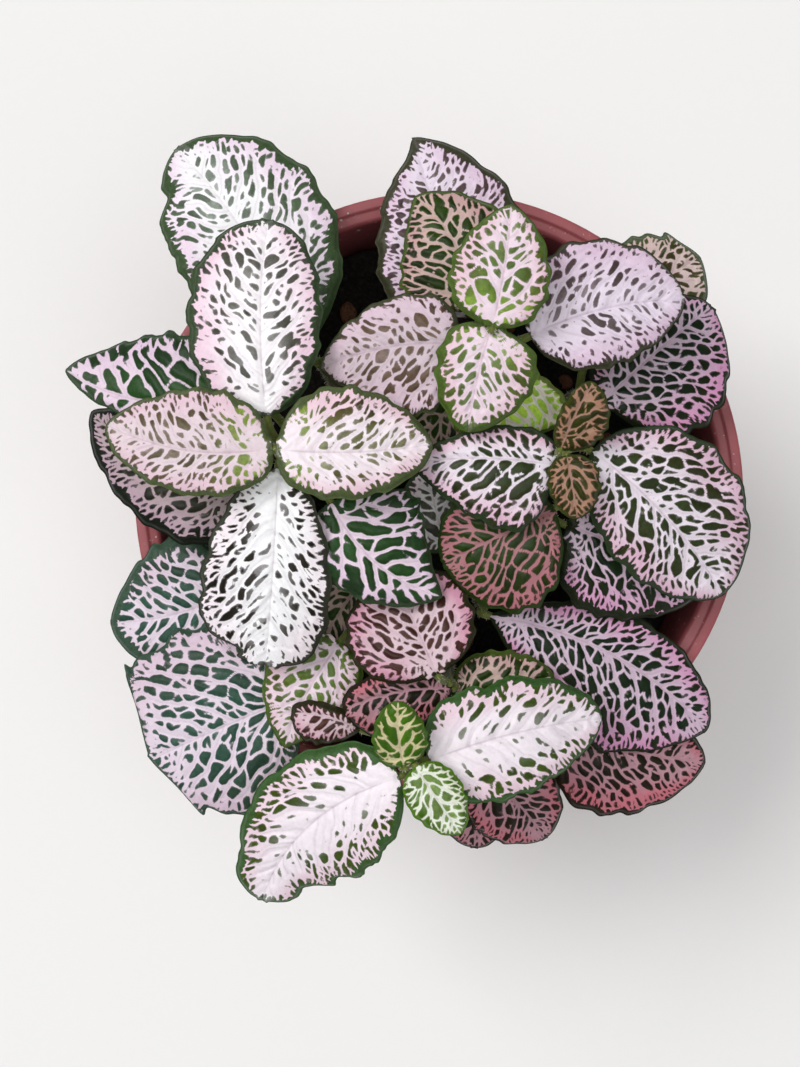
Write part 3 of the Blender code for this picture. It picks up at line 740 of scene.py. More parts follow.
def moist_peat(settings):
    """Peat-based compost, kept moist: nearly black brown, matt, with lighter fibres and a few damp
    glints where crumbs are wet."""
    material, place = new_material("moist_peat", {"IOR": 1.4, "Specular IOR Level": 0.3})
    grain = add_node(material, "ShaderNodeTexNoise", {
        "Vector": place, "Scale": per_metre(1.2), "Detail": 8.0, "Roughness": 0.7})
    fibres = add_node(material, "ShaderNodeTexVoronoi", {"Vector": place, "Scale": per_metre(0.9)},
                      take="Distance")
    tone = add_node(material, "ShaderNodeMapRange", {
        "Value": grain, "From Min": 0.3, "From Max": 0.75, "To Min": 0.45, "To Max": 1.9})
    colour = add_node(material, "ShaderNodeHueSaturation", {"Color": (*settings.peat, 1), "Value": tone})
    rough = add_node(material, "ShaderNodeMapRange", {
        "Value": fibres, "From Min": 0.1, "From Max": 0.7, "To Min": 0.6, "To Max": 0.95})
    relief = add_node(material, "ShaderNodeBump", {
        "Height": grain, "Strength": 0.8, "Distance": 0.4 * MM})
    feed(material, {"Base Color": colour, "Roughness": rough, "Normal": relief})
    return material


def expanded_perlite():
    """Expanded perlite: volcanic glass puffed to a chalky grey-white foam, dusty and pitted."""
    material, place = new_material("expanded_perlite", {
        "IOR": 1.5, "Specular IOR Level": 0.2, "Roughness": 0.9})
    pits = add_node(material, "ShaderNodeTexVoronoi", {"Vector": place, "Scale": per_metre(0.5)},
                    take="Distance")
    shade = add_node(material, "ShaderNodeMapRange", {
        "Value": pits, "From Min": 0.0, "From Max": 0.6, "To Min": 0.55, "To Max": 1.05})
    colour = add_node(material, "ShaderNodeHueSaturation", {
        "Color": (*linear("#A9A29B"), 1), "Value": shade})
    relief = add_node(material, "ShaderNodeBump", {"Height": pits, "Strength": 0.7, "Distance": 0.2 * MM})
    feed(material, {"Base Color": colour, "Normal": relief})
    return material


def shredded_bark():
    """Shredded pine bark: thin fibrous flakes, red-brown, streaked along their length."""
    material, place = new_material("shredded_bark", {
        "IOR": 1.45, "Specular IOR Level": 0.25, "Roughness": 0.85})
    streaks = add_node(material, "ShaderNodeTexNoise", {
        "Vector": place, "Scale": per_metre(0.8), "Detail": 5.0, "Distortion": 1.2})
    shade = add_node(material, "ShaderNodeMapRange", {
        "Value": streaks, "From Min": 0.3, "From Max": 0.7, "To Min": 0.5, "To Max": 1.4})
    colour = add_node(material, "ShaderNodeHueSaturation", {
        "Color": (*linear("#5A3A2A"), 1), "Value": shade})
    relief = add_node(material, "ShaderNodeBump", {
        "Height": streaks, "Strength": 0.6, "Distance": 0.15 * MM})
    feed(material, {"Base Color": colour, "Normal": relief})
    return material


def make_soil(settings):
    """The soil: a crumbly top over a plain tapered body that fills the pot."""
    wall = inner_radius(SOIL_TOP - SOIL_EDGE_DROP) - CLEARANCE
    floor = FLOOR + CLEARANCE
    heel = floor + FLOOR_ROUND
    heel_radius = inner_radius(heel) - CLEARANCE
    turns = 2 * pi * np.arange(SOIL_SIDES) / SOIL_SIDES
    rings = []
    for radius in np.linspace(0.6, wall, SOIL_RINGS):
        x = radius * np.cos(turns)
        y = radius * np.sin(turns)
        rings.append(np.stack((x, y, crumbly_height(x, y)), -1))
    for radius, height in ((heel_radius, heel), (heel_radius - FLOOR_ROUND, floor)):
        rings.append(np.stack((radius * np.cos(turns), radius * np.sin(turns),
                               np.full(len(turns), height)), -1))
    index = np.arange(len(rings) * SOIL_SIDES).reshape(len(rings), -1)
    after = np.roll(index, -1, axis=1)
    faces = np.stack((index[:-1], index[1:], after[1:], after[:-1]), -1).reshape(-1, 4).tolist()
    faces.append(index[0].tolist())
    faces.append(index[-1][::-1].tolist())
    mesh = new_mesh("soil_fill", np.concatenate(rings), faces)
    add_piece("soil_fill", mesh, [moist_peat(settings)], "soil")


def open_places(count, reach, rng):
    """Places on the soil within reach of the middle and clear of the stems."""
    roots = np.array([shoot.root for shoot in SHOOTS], float)
    places = []
    while len(places) < count:
        radius = reach * sqrt(rng.uniform())
        turn = rng.uniform(0, 2 * pi)
        place = np.array((radius * cos(turn), radius * sin(turn)))
        if np.min(np.hypot(*(roots - place).T)) > STEM_ROOM:
            places.append(place)
    return places


def lump_points(detail, size, flatness, rng):
    """Points and faces of one lump: a ball pulled out of round, size across."""
    points, faces = ball(detail)
    pull = unit(rng.normal(size=(5, 3)))
    bumps = sum(np.abs(points @ way) * rng.uniform(-0.5, 0.5) for way in pull)
    points = points * (1 + bumps)[:, None] * (1, rng.uniform(0.6, 1.0), flatness)
    tilt = Matrix.Rotation(rng.uniform(0, 2 * pi), 3, "Z") @ Matrix.Rotation(rng.uniform(-0.5, 0.5), 3, "X")
    return points @ np.array(tilt).T * size, faces


def scatter(name, count, detail, sizes, flatness, material, reach, seed):
    """Loose lumps on the soil, joined in one piece."""
    rng = np.random.default_rng(seed)
    verts = []
    faces = []
    for x, y in open_places(count, reach, rng):
        size = rng.uniform(*sizes)
        points, lump_faces = lump_points(detail, size, flatness, rng)
        lift = crumbly_height(x, y) + 0.18 * size * flatness
        start = len(verts)
        verts.extend((points + (x, y, lift)).tolist())
        faces.extend(tuple(start + corner for corner in face) for face in lump_faces)
    add_piece(name, new_mesh(name, verts, faces), [material], "soil")


def make_litter(settings):
    """What lies loose on the soil: peat crumbs, perlite and bark chips."""
    reach = inner_radius(SOIL_TOP) - 3.5
    scatter("peat_crumbs", settings.crumbs, 2, (1.2, 3.6), 0.7, moist_peat(settings), reach, 11)
    scatter("perlite_granules", settings.granules, 3, (1.0, 2.4), 0.85, expanded_perlite(), reach, 12)
    scatter("bark_chips", settings.chips, 2, (3.0, 6.5), 0.22, shredded_bark(), reach - 1, 13)


# Stems

def stem_path(shoot, steps):
    """A stem stands straight in its hole and then leans over to its crown."""
    root = np.array((*shoot.root, SOIL_TOP - STEM_BELOW_SOIL), float)
    collar = np.array((*shoot.root, SOIL_TOP + STEM_COLLAR), float)
    crown = np.array(shoot.crown, float)
    above = collar + np.array((0.0, 0.0, 0.45)) * (crown[2] - collar[2])
    return np.vstack((root, bend(collar, above, crown, np.linspace(0.0, 1.0, steps)[:, None])))


def blade_points(leaf, phase, along, across, ripple=0.0):
    """Points of the blade's middle surface, along from 0 at its base to 1 at its tip and across from
    -1 at its right margin to 1 at its left one, as an array of (x, y, z). ripple moves the margin out."""
    along, across = np.broadcast_arrays(np.asarray(along, float), np.asarray(across, float))
    base = np.array(leaf.base, float)
    tip = np.array(leaf.tip, float)
    run = (tip - base)[:2]
    length = np.hypot(*run)
    side = np.array((-run[1], run[0])) / length
    swing = 4 * along * (1 - along)
    midrib = base[:2] + along[..., None] * run + (leaf.bow * swing)[..., None] * side
    heading = run + (4 * leaf.bow * (1 - 2 * along))[..., None] * side
    heading = unit(heading)
    outward = np.stack((-heading[..., 1], heading[..., 0]), -1)
    half = half_width(leaf, phase, along, across, ripple)

    out = np.abs(across)
    height = base[2] + (tip[2] - base[2]) * along + ARCH * length * swing
    height = height + half * (EDGE_RISE * out - EDGE_DROOP * out ** 2.2)
    wave = np.sin(2 * pi * WAVES * along + phase + np.where(across > 0, 0.0, 1.7))
    height = height + WAVE_HEIGHT * swing * wave * out ** 3
    place = midrib + (across * half)[..., None] * outward
    return np.concatenate((place, height[..., None]), -1)


def half_width(leaf, phase, along, across, ripple=0.0):
    """How far the margin on the side of across is from the midrib. ripple moves it out where there is
    width to spare."""
    widest = leaf.round_base / (leaf.round_base + leaf.round_tip)
    peak = widest ** leaf.round_base * (1 - widest) ** leaf.round_tip
    fullness = along ** leaf.round_base * (1 - along) ** leaf.round_tip / peak
    half = np.where(across >= 0, leaf.left, leaf.right) * fullness
    half = half * (1 + SCALLOP * np.sin(2 * pi * SCALLOPS * along + 2.3 * phase))
    for nick_side, place, depth, reach in leaf.nicks:
        on_side = across * nick_side > 0
        half = half - np.where(on_side, depth, 0.0) * np.exp(-((along - place) / reach) ** 2)
    half = np.maximum(half, 0.0)
    return half + ripple * np.minimum(half / 4, 1)


def petiole_path(shoot, leaf, phase, steps):
    """A petiole leaves the stem below the blade, rises to its base and runs on under its midrib."""
    stem = stem_path(shoot, 12)
    base = np.array(leaf.base, float)
    reach = np.hypot(*(base[:2] - np.array(shoot.crown[:2])))
    start_height = min(base[2] - 2.5 - 0.35 * reach, shoot.crown[2] - 1.0)
    start = np.array([np.interp(start_height, stem[:, 2], stem[:, k]) for k in range(3)])
    under = np.array((0.0, 0.0, CAD_BLADE_THICKNESS / 2 + 0.35))
    rib = blade_points(leaf, phase, RIB_REACH, 0.0) - under
    knee = base - under - 0.2 * (rib - base + under) * max(reach, 3.0) / 3.0
    knee[2] = min(knee[2], base[2] - 0.8)
    rise = bend(start, knee, base - under, np.linspace(0.0, 1.0, steps)[:, None])
    rib_along = np.linspace(0.06, RIB_REACH, 4)
    ribs = blade_points(leaf, phase, rib_along, np.zeros(4)) - under
    return np.vstack((rise, ribs))


def tube_points(path, radii, sides):
    """Rings of points round a path, as an array of (ring, side, xyz), and the way each point faces."""
    ahead = unit(np.gradient(path, axis=0))
    across = unit(np.cross(ahead, (0.31, 0.95, 0.05)))
    other = np.cross(ahead, across)
    turns = 2 * pi * np.arange(sides) / sides
    facing = across[:, None] * np.cos(turns)[None, :, None] + other[:, None] * np.sin(turns)[None, :, None]
    return path[:, None] + facing * np.asarray(radii)[:, None, None], facing


class MeshParts:
    """Collects points, faces and a greenness for each point, and makes one mesh of them."""

    def __init__(self):
        self.points = []
        self.faces = []
        self.young = []

    def add(self, points, faces, young):
        """Adds points and the faces between them. young is one value, or one for each point."""
        start = len(self.points)
        self.points.extend(np.asarray(points).tolist())
        self.faces.extend(tuple(start + corner for corner in face) for face in faces)
        self.young.extend(np.broadcast_to(young, len(points)).tolist())

    def add_tube(self, path, radii, sides, young):
        """Adds a closed tube round a path. radii and young have a value for each of its points."""
        rings, _ = tube_points(path, radii, sides)
        index = np.arange(len(path) * sides).reshape(len(path), sides)
        after = np.roll(index, -1, axis=1)
        quads = np.stack((index[:-1], after[:-1], after[1:], index[1:]), -1).reshape(-1, 4)
        faces = quads.tolist() + [index[0][::-1].tolist(), index[-1].tolist()]
        self.add(rings.reshape(-1, 3), faces, np.repeat(young, sides))

    def mesh(self, name):
        """One mesh of all that was added."""
        mesh = new_mesh(name, self.points, self.faces)
        young = mesh.attributes.new("young", "FLOAT", "POINT")
        young.data.foreach_set("value", self.young)
        return mesh


def downy_stem(settings):
    """A young herbaceous stem: a juicy green skin with a soft sheen, browner and drier towards the soil,
    streaked lengthwise and covered in short pale down."""
    material, place = new_material("downy_stem_skin", {
        "IOR": 1.42, "Specular IOR Level": 0.4, "Sheen Weight": 0.2})
    young = add_node(material, "ShaderNodeAttribute", {}, attribute_name="young", take="Fac")
    drawn = add_node(material, "ShaderNodeVectorMath", {"Vector": place, "Vector_001": (1, 1, 0.25)},
                     operation="MULTIPLY")
    streaks = add_node(material, "ShaderNodeTexNoise", {
        "Vector": drawn, "Scale": per_metre(0.6), "Detail": 4.0})
    share = add_node(material, "ShaderNodeMath", {"Value": young, "Value_001": streaks},
                     operation="ADD")
    share = add_node(material, "ShaderNodeMapRange", {
        "Value": share, "From Min": 0.7, "From Max": 1.2}, interpolation_type="SMOOTHSTEP")
    skin = add_node(material, "ShaderNodeMix", {
        "Factor_Float": share, "A_Color": (*settings.stem, 1), "B_Color": (*settings.petiole, 1)},
        data_type="RGBA", take="Result_Color")
    tone = add_node(material, "ShaderNodeMapRange", {
        "Value": streaks, "From Min": 0.3, "From Max": 0.7, "To Min": 0.8, "To Max": 1.15})
    colour = add_node(material, "ShaderNodeHueSaturation", {"Color": skin, "Value": tone})
    relief = add_node(material, "ShaderNodeBump", {
        "Height": streaks, "Strength": 0.4, "Distance": 0.1 * MM})
    rough = add_node(material, "ShaderNodeMapRange", {
        "Value": streaks, "From Min": 0.3, "From Max": 0.7, "To Min": 0.42, "To Max": 0.6})
    feed(material, {"Base Color": colour, "Roughness": rough, "Normal": relief})
    return material


def pale_down():
    """Plant hair: colourless, dry and glassy, so it reads as a pale fuzz."""
    material, place = new_material("pale_down", {"IOR": 1.5, "Roughness": 0.5, "Sheen Weight": 0.3})
    mottle = add_node(material, "ShaderNodeTexNoise", {"Vector": place, "Scale": per_metre(2)})
    tone = add_node(material, "ShaderNodeMapRange", {"Value": mottle, "To Min": 0.8, "To Max": 1.1})
    colour = add_node(material, "ShaderNodeHueSaturation", {
        "Color": (*linear("#D9D6C2"), 1), "Value": tone})
    feed(material, {"Base Color": colour})
    return material


def add_down(parts, path, radii, count, length, rng):
    """Hairs as thin three-sided cones that stand out of a tube."""
    sides = 12
    rings, facing = tube_points(path, radii, sides)
    for _ in range(count):
        ring = rng.uniform(1, len(path) - 1.01)
        side = rng.integers(sides)
        low = int(ring)
        share = ring - low
        root = rings[low, side] * (1 - share) + rings[low + 1, side] * share
        out = unit(facing[low, side] + rng.normal(scale=0.25, size=3))
        across = unit(np.cross(out, (0.3, 0.2, 0.9)))
        other = np.cross(out, across)
        reach = length * rng.uniform(0.5, 1.0)
        foot = [root + HAIR_RADIUS * (across * cos(turn) + other * sin(turn)) for turn in (0.0, 2.09, 4.19)]
        parts.add(foot + [root + out * reach], [(0, 1, 3), (1, 2, 3), (2, 0, 3), (0, 2, 1)], 1.0)


def bud_points(place, turn, size):
    """A folded scale of the bud: a small pointed boat that stands on the crown."""
    points, faces = ball(2)
    points[:, 2] += 0.5
    points[:, :2] *= (1.15 - points[:, 2:]) * 0.8
    points[:, 0] += 0.35 * points[:, 2] ** 1.5 + 0.12
    return points * size @ np.array(Matrix.Rotation(turn, 3, "Z")).T + place, faces


def make_stems(settings):
    """Each stem with its petioles, bud and down, as one piece for each shoot."""
    skin = downy_stem(settings)
    down = pale_down()
    for number, shoot in enumerate(SHOOTS):
        rng = np.random.default_rng(40 + number)
        parts = MeshParts()
        hairs = MeshParts()
        path = stem_path(shoot, 26)
        climb = np.linspace(0, 1, len(path))
        radii = STEM_RADIUS * (1 - 0.35 * climb)
        starts = [petiole_path(shoot, leaf, 0.0, 2)[0, 2] for leaf in shoot.leaves]
        joints = sum(np.exp(-((path[:, 2] - start) / 1.1) ** 2) for start in starts)
        radii = radii * (1 + 0.16 * np.minimum(joints, 1))
        parts.add_tube(path, radii, 14, 0.15 + 0.75 * climb)
        length = settings.hair / MM
        add_down(hairs, path, radii, settings.hairs, length, rng)
        for i, leaf in enumerate(shoot.leaves, start=1):
            route = petiole_path(shoot, leaf, leaf_phase(shoot, i), 9)
            thick = np.interp(np.linspace(0, 1, len(route)), (0, 0.65, 1),
                              (PETIOLE_RADIUS, 0.85 * PETIOLE_RADIUS, RIB_RADIUS))
            parts.add_tube(route, thick, 10, np.linspace(0.7, 1.0, len(route)))
            add_down(hairs, route[:9], thick[:9], settings.hairs // 4, length * 0.8, rng)
        for scale in range(BUD_SCALES):
            points, faces = bud_points(np.array(shoot.crown) + (0, 0, -0.4), scale * pi / 2 + number,
                                       BUD_SIZE * (1 - scale / 8))
            parts.add(points, faces, 1.2)
        add_piece(f"{shoot.name}_stem", parts.mesh("stem"), [skin], shoot.name)
        add_piece(f"{shoot.name}_down", hairs.mesh("down"), [down], shoot.name, smooth=False)


# Leaves

# What is known of each point of a blade: how far it is outside the nearest vein (negative inside one),
# the same before the veins swelled, how far off the midrib, a side vein and the margin are, a tone for
# its cell, streaks that follow the side veins, how white its quarter of the blade is, and how far it is
# in the green rim.
Net = namedtuple("Net", "gap unswollen to_midrib to_side margin tone streaks white in_rim",
                 defaults=(0.0,))


def leaf_phase(shoot, number):
    """Each leaf's waves start elsewhere."""
    return 2.4 * number + 1.1 * SHOOTS.index(shoot)


def nearest_margin(points, edge):
    """How far each point is from the margin, and the way to the nearest point of it."""
    flat = points.reshape(-1, 2)
    apart = np.empty(len(flat))
    nearest = np.empty(len(flat), int)
    for start in range(0, len(flat), 2000):
        some = flat[start:start + 2000]
        far = np.hypot(some[:, :1] - edge[None, :, 0], some[:, 1:] - edge[None, :, 1])
        nearest[start:start + 2000] = far.argmin(axis=1)
        apart[start:start + 2000] = far.min(axis=1)
    way = (edge[nearest] - flat) / (apart[:, None] + 1e-6)
    return apart.reshape(points.shape[:-1]), way.reshape(points.shape)


def soft_least(distances):
    """The least of the distances along the last axis, rounded off where two are alike."""
    return -np.log(np.exp(-CELL_ROUNDING * np.minimum(distances, 5)).sum(axis=-1)) / CELL_ROUNDING


class VeinPlan:
    """Where one leaf's veins run, in millimetres along (a) and across (b) its midrib.

    Side veins leave the midrib alternately, arch forward and divide each half of the blade into strips.
    Large cells lie along the strips. Along the margin there is a ring of small cells that point outward.
    """

    def __init__(self, leaf, phase, edge, length, rng):
        self.leaf = leaf
        self.look = LOOKS[leaf.look]
        self.edge = edge
        self.length = length
        self.size = sqrt(length / STANDARD_LENGTH)
        self.ring = RING_WIDTH * self.size
        apart = SIDE_VEIN_SPACING * self.size
        reach = max(leaf.left, leaf.right, 3.0)
        starts = np.arange(-round(2 * reach / apart) - 2, length / apart + 2.0)
        self.starts = {hand: (starts + offset + rng.uniform(-0.16, 0.16, len(starts))) * apart
                       for hand, offset in ((1, 0.5), (-1, 0.0))}
        self.seeds, self.seed_strips, self.seed_ring = self.scatter_seeds(phase, rng)
        count = len(self.seeds)
        self.veinlet_turn = rng.uniform(0, 2 * pi, count)
        self.has_veinlet = rng.uniform(0, 1, count) < 0.4

    def reach(self, b):
        """The blade's greatest half width on the side of b."""
        return np.where(b >= 0, max(self.leaf.left, 2.0), max(self.leaf.right, 2.0))

    def strips(self, a, b):
        """The number of the strip each point is in, how far its two side veins are, and how far forward
        these run for each millimetre outward. Below the first side vein they fan out from the base."""
        beside = np.abs(b)
        out = beside / self.reach(b)
        lean = 0.75 + 0.3 * np.clip(a / self.length, 0, 1)
        start = a - beside * (lean + 0.45 * out)
        slope = lean + 0.9 * out
        below = np.clip(-start / 2.5, 0, 1)
        fan = 1 + (np.maximum(out, 0.12) / 0.6 - 1) * below
        squeeze = fan / np.sqrt(1 + slope ** 2)
        start = start / fan
        number = np.zeros(a.shape, int)
        lower = np.zeros(a.shape)
        upper = np.zeros(a.shape)
        for hand, first in ((1, 0), (-1, 100)):
            here = (b >= 0) == (hand > 0)
            starts = self.starts[hand]
            k = np.clip(np.searchsorted(starts, start[here]) - 1, 0, len(starts) - 2)
            number[here] = first + k
            lower[here] = start[here] - starts[k]
            upper[here] = starts[k + 1] - start[here]
        return number, lower * squeeze, upper * squeeze, slope, start

    def ways(self, a, b, slope):
        """The way that cells run at each point, how far the margin is, and how deep in the ring that is
        from 0 to 1."""
        side = unit(np.stack((slope, np.where(b >= 0, 1.0, -1.0)), -1))
        margin, out = nearest_margin(np.stack((a, b), -1), self.edge)
        ring = np.minimum(self.ring, 0.4 * self.reach(b)) + self.leaf.rim
        near = 1 - smooth_step(0.6 * ring, 1.35 * ring, margin)
        outward = out * 0.9 + np.array((0.35, 0.0))
        way = side * (1 - near)[..., None] + outward * near[..., None]
        return unit(way, 1e-6), margin, near

    def scatter_seeds(self, phase, rng):
        """Seeds about a cell apart within each strip, taken one by one from random places."""
        count = int(9 * self.length * (self.leaf.left + self.leaf.right) / self.look.cell_width ** 2)
        a = rng.uniform(0, self.length, count)
        b = rng.uniform(-self.leaf.right, self.leaf.left, count)
        number, lower, upper, slope, _ = self.strips(a, b)
        way, _, near = self.ways(a, b, slope)
        by_midrib = 1 - smooth_step(0.1, 0.4, np.abs(b) / self.reach(b))
        size = self.look.cell_width * (1.0 - 0.45 * near - 0.15 * by_midrib) * rng.uniform(0.75, 1.2, count)
        stretch = self.stretch(near)
        inside = np.abs(b) < half_width(self.leaf, phase, a / self.length, b) + 0.3
        ring = near > 0.5
        clear = (np.minimum(lower, upper) > 0.3 * size) | ring
        clear = clear & (np.abs(b) > 0.36 * size)
        places = np.stack((a, b), -1)
        chosen = []
        for i in np.flatnonzero(inside & clear):
            step = places[chosen] - places[i]
            along = step @ way[i] / stretch[i]
            across = step[:, 0] * way[i, 1] - step[:, 1] * way[i, 0]
            close = across ** 2 + along ** 2 < size[i] ** 2
            rival = (number[chosen] == number[i]) | (ring[chosen] & ring[i])
            if not np.any(close & rival):
                chosen.append(i)
        return places[chosen], number[chosen], ring[chosen]

    def stretch(self, near):
        """How many times as long as wide the cells are, by how deep in the ring they lie."""
        return self.look.stretch + (RING_STRETCH - self.look.stretch) * near

    def walls(self, a, b, way, number, near):
        """Distances from each point to the walls of its cell and to the veinlet that ends inside it, and
        the cell's number."""
        flat_way = way.reshape(-1, 2)
        stretch = self.stretch(near).reshape(-1, 1)
        ring = near > 0.5
        step_a = self.seeds[None, :, 0] - a.reshape(-1, 1)
        step_b = self.seeds[None, :, 1] - b.reshape(-1, 1)
        along = (step_a * flat_way[:, :1] + step_b * flat_way[:, 1:]) / stretch
        across = step_a * flat_way[:, 1:] - step_b * flat_way[:, :1]
        elsewhere = (number.reshape(-1, 1) != self.seed_strips) & ~ring.reshape(-1, 1) & ~self.seed_ring
        elsewhere = elsewhere | ((b.reshape(-1, 1) >= 0) != (self.seeds[:, 1] >= 0))
        far = along ** 2 + across ** 2 + FAR_OFF ** 2 * elsewhere
        count = min(NEIGHBOURS, far.shape[1])
        order = np.argpartition(far, count - 1, axis=1)[:, :count]
        rows = np.arange(len(far))[:, None]
        order = order[rows, np.argsort(far[rows, order], axis=1)]
        far = far[rows, order]
        along = along[rows, order]
        across = across[rows, order]
        step_along = along[:, 1:] - along[:, :1]
        step_across = across[:, 1:] - across[:, :1]
        step = np.hypot(step_along, step_across) + 1e-6
        lean = np.hypot(step_across / step, step_along / step / stretch)
        walls = (far[:, 1:] - far[:, :1]) / (2 * step) / lean
        # Now and then two cells run into one. mate is a number from -1 to 1 that each pair keeps.
        mate = np.sin(12.9898 * np.minimum(order[:, :1], order[:, 1:])
                      + 78.233 * np.maximum(order[:, :1], order[:, 1:]))
        walls = np.where(np.abs(mate) < 0.16, walls + 3.0, walls)
        # A veinlet comes in from a wall, narrows and ends by the middle of the cell.
        cell = order[:, 0]
        turn = self.veinlet_turn[cell]
        forward = along[:, 0] * stretch[:, 0]
        beside = forward * np.cos(turn) + across[:, 0] * np.sin(turn)
        inward = across[:, 0] * np.cos(turn) - forward * np.sin(turn)
        veinlet = np.hypot(beside, np.minimum(inward - 0.1, 0)) - 0.05 - 0.1 * np.clip(inward, 0, 1.5)
        veinlet = np.where(self.has_veinlet[cell], veinlet, 3.0)
        return walls.reshape(*a.shape, -1), veinlet.reshape(a.shape), cell.reshape(a.shape)


def by_quarter(values, along, across):
    """Blends four values: by the midrib in the lower and upper half, and towards the margin in both."""
    outward = smooth_step(0.2, 0.7, np.abs(across))
    forward = smooth_step(0.2, 0.8, along)
    return ((1 - outward) * ((1 - forward) * values[0] + forward * values[1])
            + outward * ((1 - forward) * values[2] + forward * values[3]))


def vein_net(plan, a, b, along, across, step, rng):
    """The Net at points a and b, which lie along and across the blade. step is that of its mesh."""
    leaf = plan.leaf
    bent_a = a + 0.45 * wander(a, b, 5.0, rng) + 0.12 * wander(a, b, 1.5, rng)
    bent_b = b + (0.3 * wander(a, b, 4.0, rng) + 0.12 * wander(a, b, 1.5, rng)) * np.minimum(np.abs(b), 1)
    number, lower, upper, slope, start = plan.strips(bent_a, bent_b)
    way, _, near = plan.ways(bent_a, bent_b, slope)
    margin = nearest_margin(np.stack((a, b), -1), plan.edge)[0]
    walls, veinlet, cell = plan.walls(bent_a, bent_b, way, number, near)
    share_out = np.clip(np.abs(b) / plan.reach(b), 0, 1)
    fine = np.clip(plan.look.cell_width / 1.6, 0.6, 1.0)
    side_half = (SIDE_VEIN_HALF - SIDE_VEIN_TAPER * share_out) * plan.size * fine
    midrib_half = (MIDRIB_HALF - MIDRIB_TAPER * np.clip(along, 0, 1)) * plan.size * fine
    green = by_quarter(leaf.green, along, across)
    grown = rng.uniform(-1, 1, len(plan.seeds))[cell] * (0.06 + 0.2 * (1 - green) ** 2)
    fading = 1.5 * smooth_step(0.4, 0.9, near)
    distances = np.concatenate((
        walls - 0.1 * plan.look.cell_width + grown[..., None], (veinlet + grown)[..., None],
        (lower - side_half + fading)[..., None], (upper - side_half + fading)[..., None],
        (np.abs(b) - midrib_half)[..., None]), axis=-1)
    gap = soft_least(distances) + 0.04 * wander(a, b, 0.9, rng)
    thinnest = np.minimum(np.minimum(lower, upper) + fading, np.minimum(walls.min(axis=-1), np.abs(b)))
    thinnest = thinnest - THINNEST_VEIN * step / 2
    # The veins swell until the wanted share of each quarter of the blade is green.
    middle = np.abs(across) < 0.45
    lower_half = along < 0.5
    body = margin > 1.1 * leaf.rim
    quarters = (middle & lower_half, middle & ~lower_half, ~middle & lower_half, ~middle & ~lower_half)
    swell = [max(np.quantile(gap[body & quarter], 1 - share), -0.3)
             for quarter, share in zip(quarters, leaf.green)]
    swollen = by_quarter(swell, along, across)
    swollen = swollen - 0.12 * (1 - smooth_step(0, 1.2, margin - leaf.rim))
    tone = rng.uniform(0, 1, len(plan.seeds))[cell]
    streaks = wander(start * 0.8, np.abs(b) / 9, 0.5, rng)
    white = 1 - smooth_step(0.15, 0.45, green)
    return Net(np.minimum(gap - swollen, thinnest), gap, np.abs(b), np.minimum(lower, upper) + fading,
               margin, tone, streaks, white)


def with_rim(net, leaf, a, b, rng):
    """The net with a green rim, whose inner edge the veins cross like teeth."""
    rim_edge = leaf.rim * (1 + 0.22 * wander(a, b, 2.5, rng))
    rim_gap = rim_edge - net.margin + 2.0 * np.clip(net.gap, -0.45, 0.25)
    in_rim = smooth_step(-0.1, 0.2, rim_gap - net.gap)
    return net._replace(gap=np.maximum(net.gap, rim_gap), in_rim=in_rim)


def spread(count):
    """Places from the base to the tip of a blade, closer together at its ends."""
    t = np.arange(1, count) / count
    return t - 0.4 * np.sin(2 * pi * t) / (2 * pi)


def margin_ripple(along, across, length, rng):
    """How far small waves move the margin out, other waves on each side, fading towards the midrib."""
    span = 2 * pi * along * length
    beat = rng.uniform(2.8, 4.4, 3)
    shift = rng.uniform(0, 6, 6)
    ripple = np.where(
        across > 0,
        np.sin(span / beat[0] + shift[0]) + 0.7 * np.sin(span / (0.57 * beat[1]) + shift[1]),
        np.sin(span / beat[1] + shift[2]) + 0.7 * np.sin(span / (0.61 * beat[2]) + shift[3]))
    return 0.08 * ripple * np.abs(across)


def blade_sides(middle, net, along, settings):
    """The upper side and the underside of a blade: a channel over the midrib and a rib below it, pleats
    between the side veins, quilted cells and a rolled margin."""
    normals = unit(np.cross(np.gradient(middle, axis=0), np.gradient(middle, axis=1)), 1e-9)
    fade = smooth_step(0, 1.2, net.margin)
    ends = np.minimum(1, 8 * along * (1 - along))
    lift = -CHANNEL_DEPTH * np.exp(-(net.to_midrib / 0.55) ** 2) * fade * ends
    lift = lift + settings.pleat / MM * (1 - np.exp(-(net.to_side / 0.9) ** 2)) * fade
    lift = lift + settings.quilt / MM * smooth_step(-0.15, 0.45, net.gap) * fade
    lift = lift + (0.03 + 0.05 * net.white) * net.streaks * fade
    thin = BLADE_THICKNESS / 2 * (0.35 + 0.65 * fade)
    rib = UNDER_RIB * np.exp(-(net.to_midrib / 0.8) ** 2) * ends
    top = middle + normals * (thin + lift - MARGIN_ROLL * (1 - fade))[..., None]
    bottom = middle - normals * (thin + rib * fade - 0.5 * lift)[..., None]
    return top, bottom


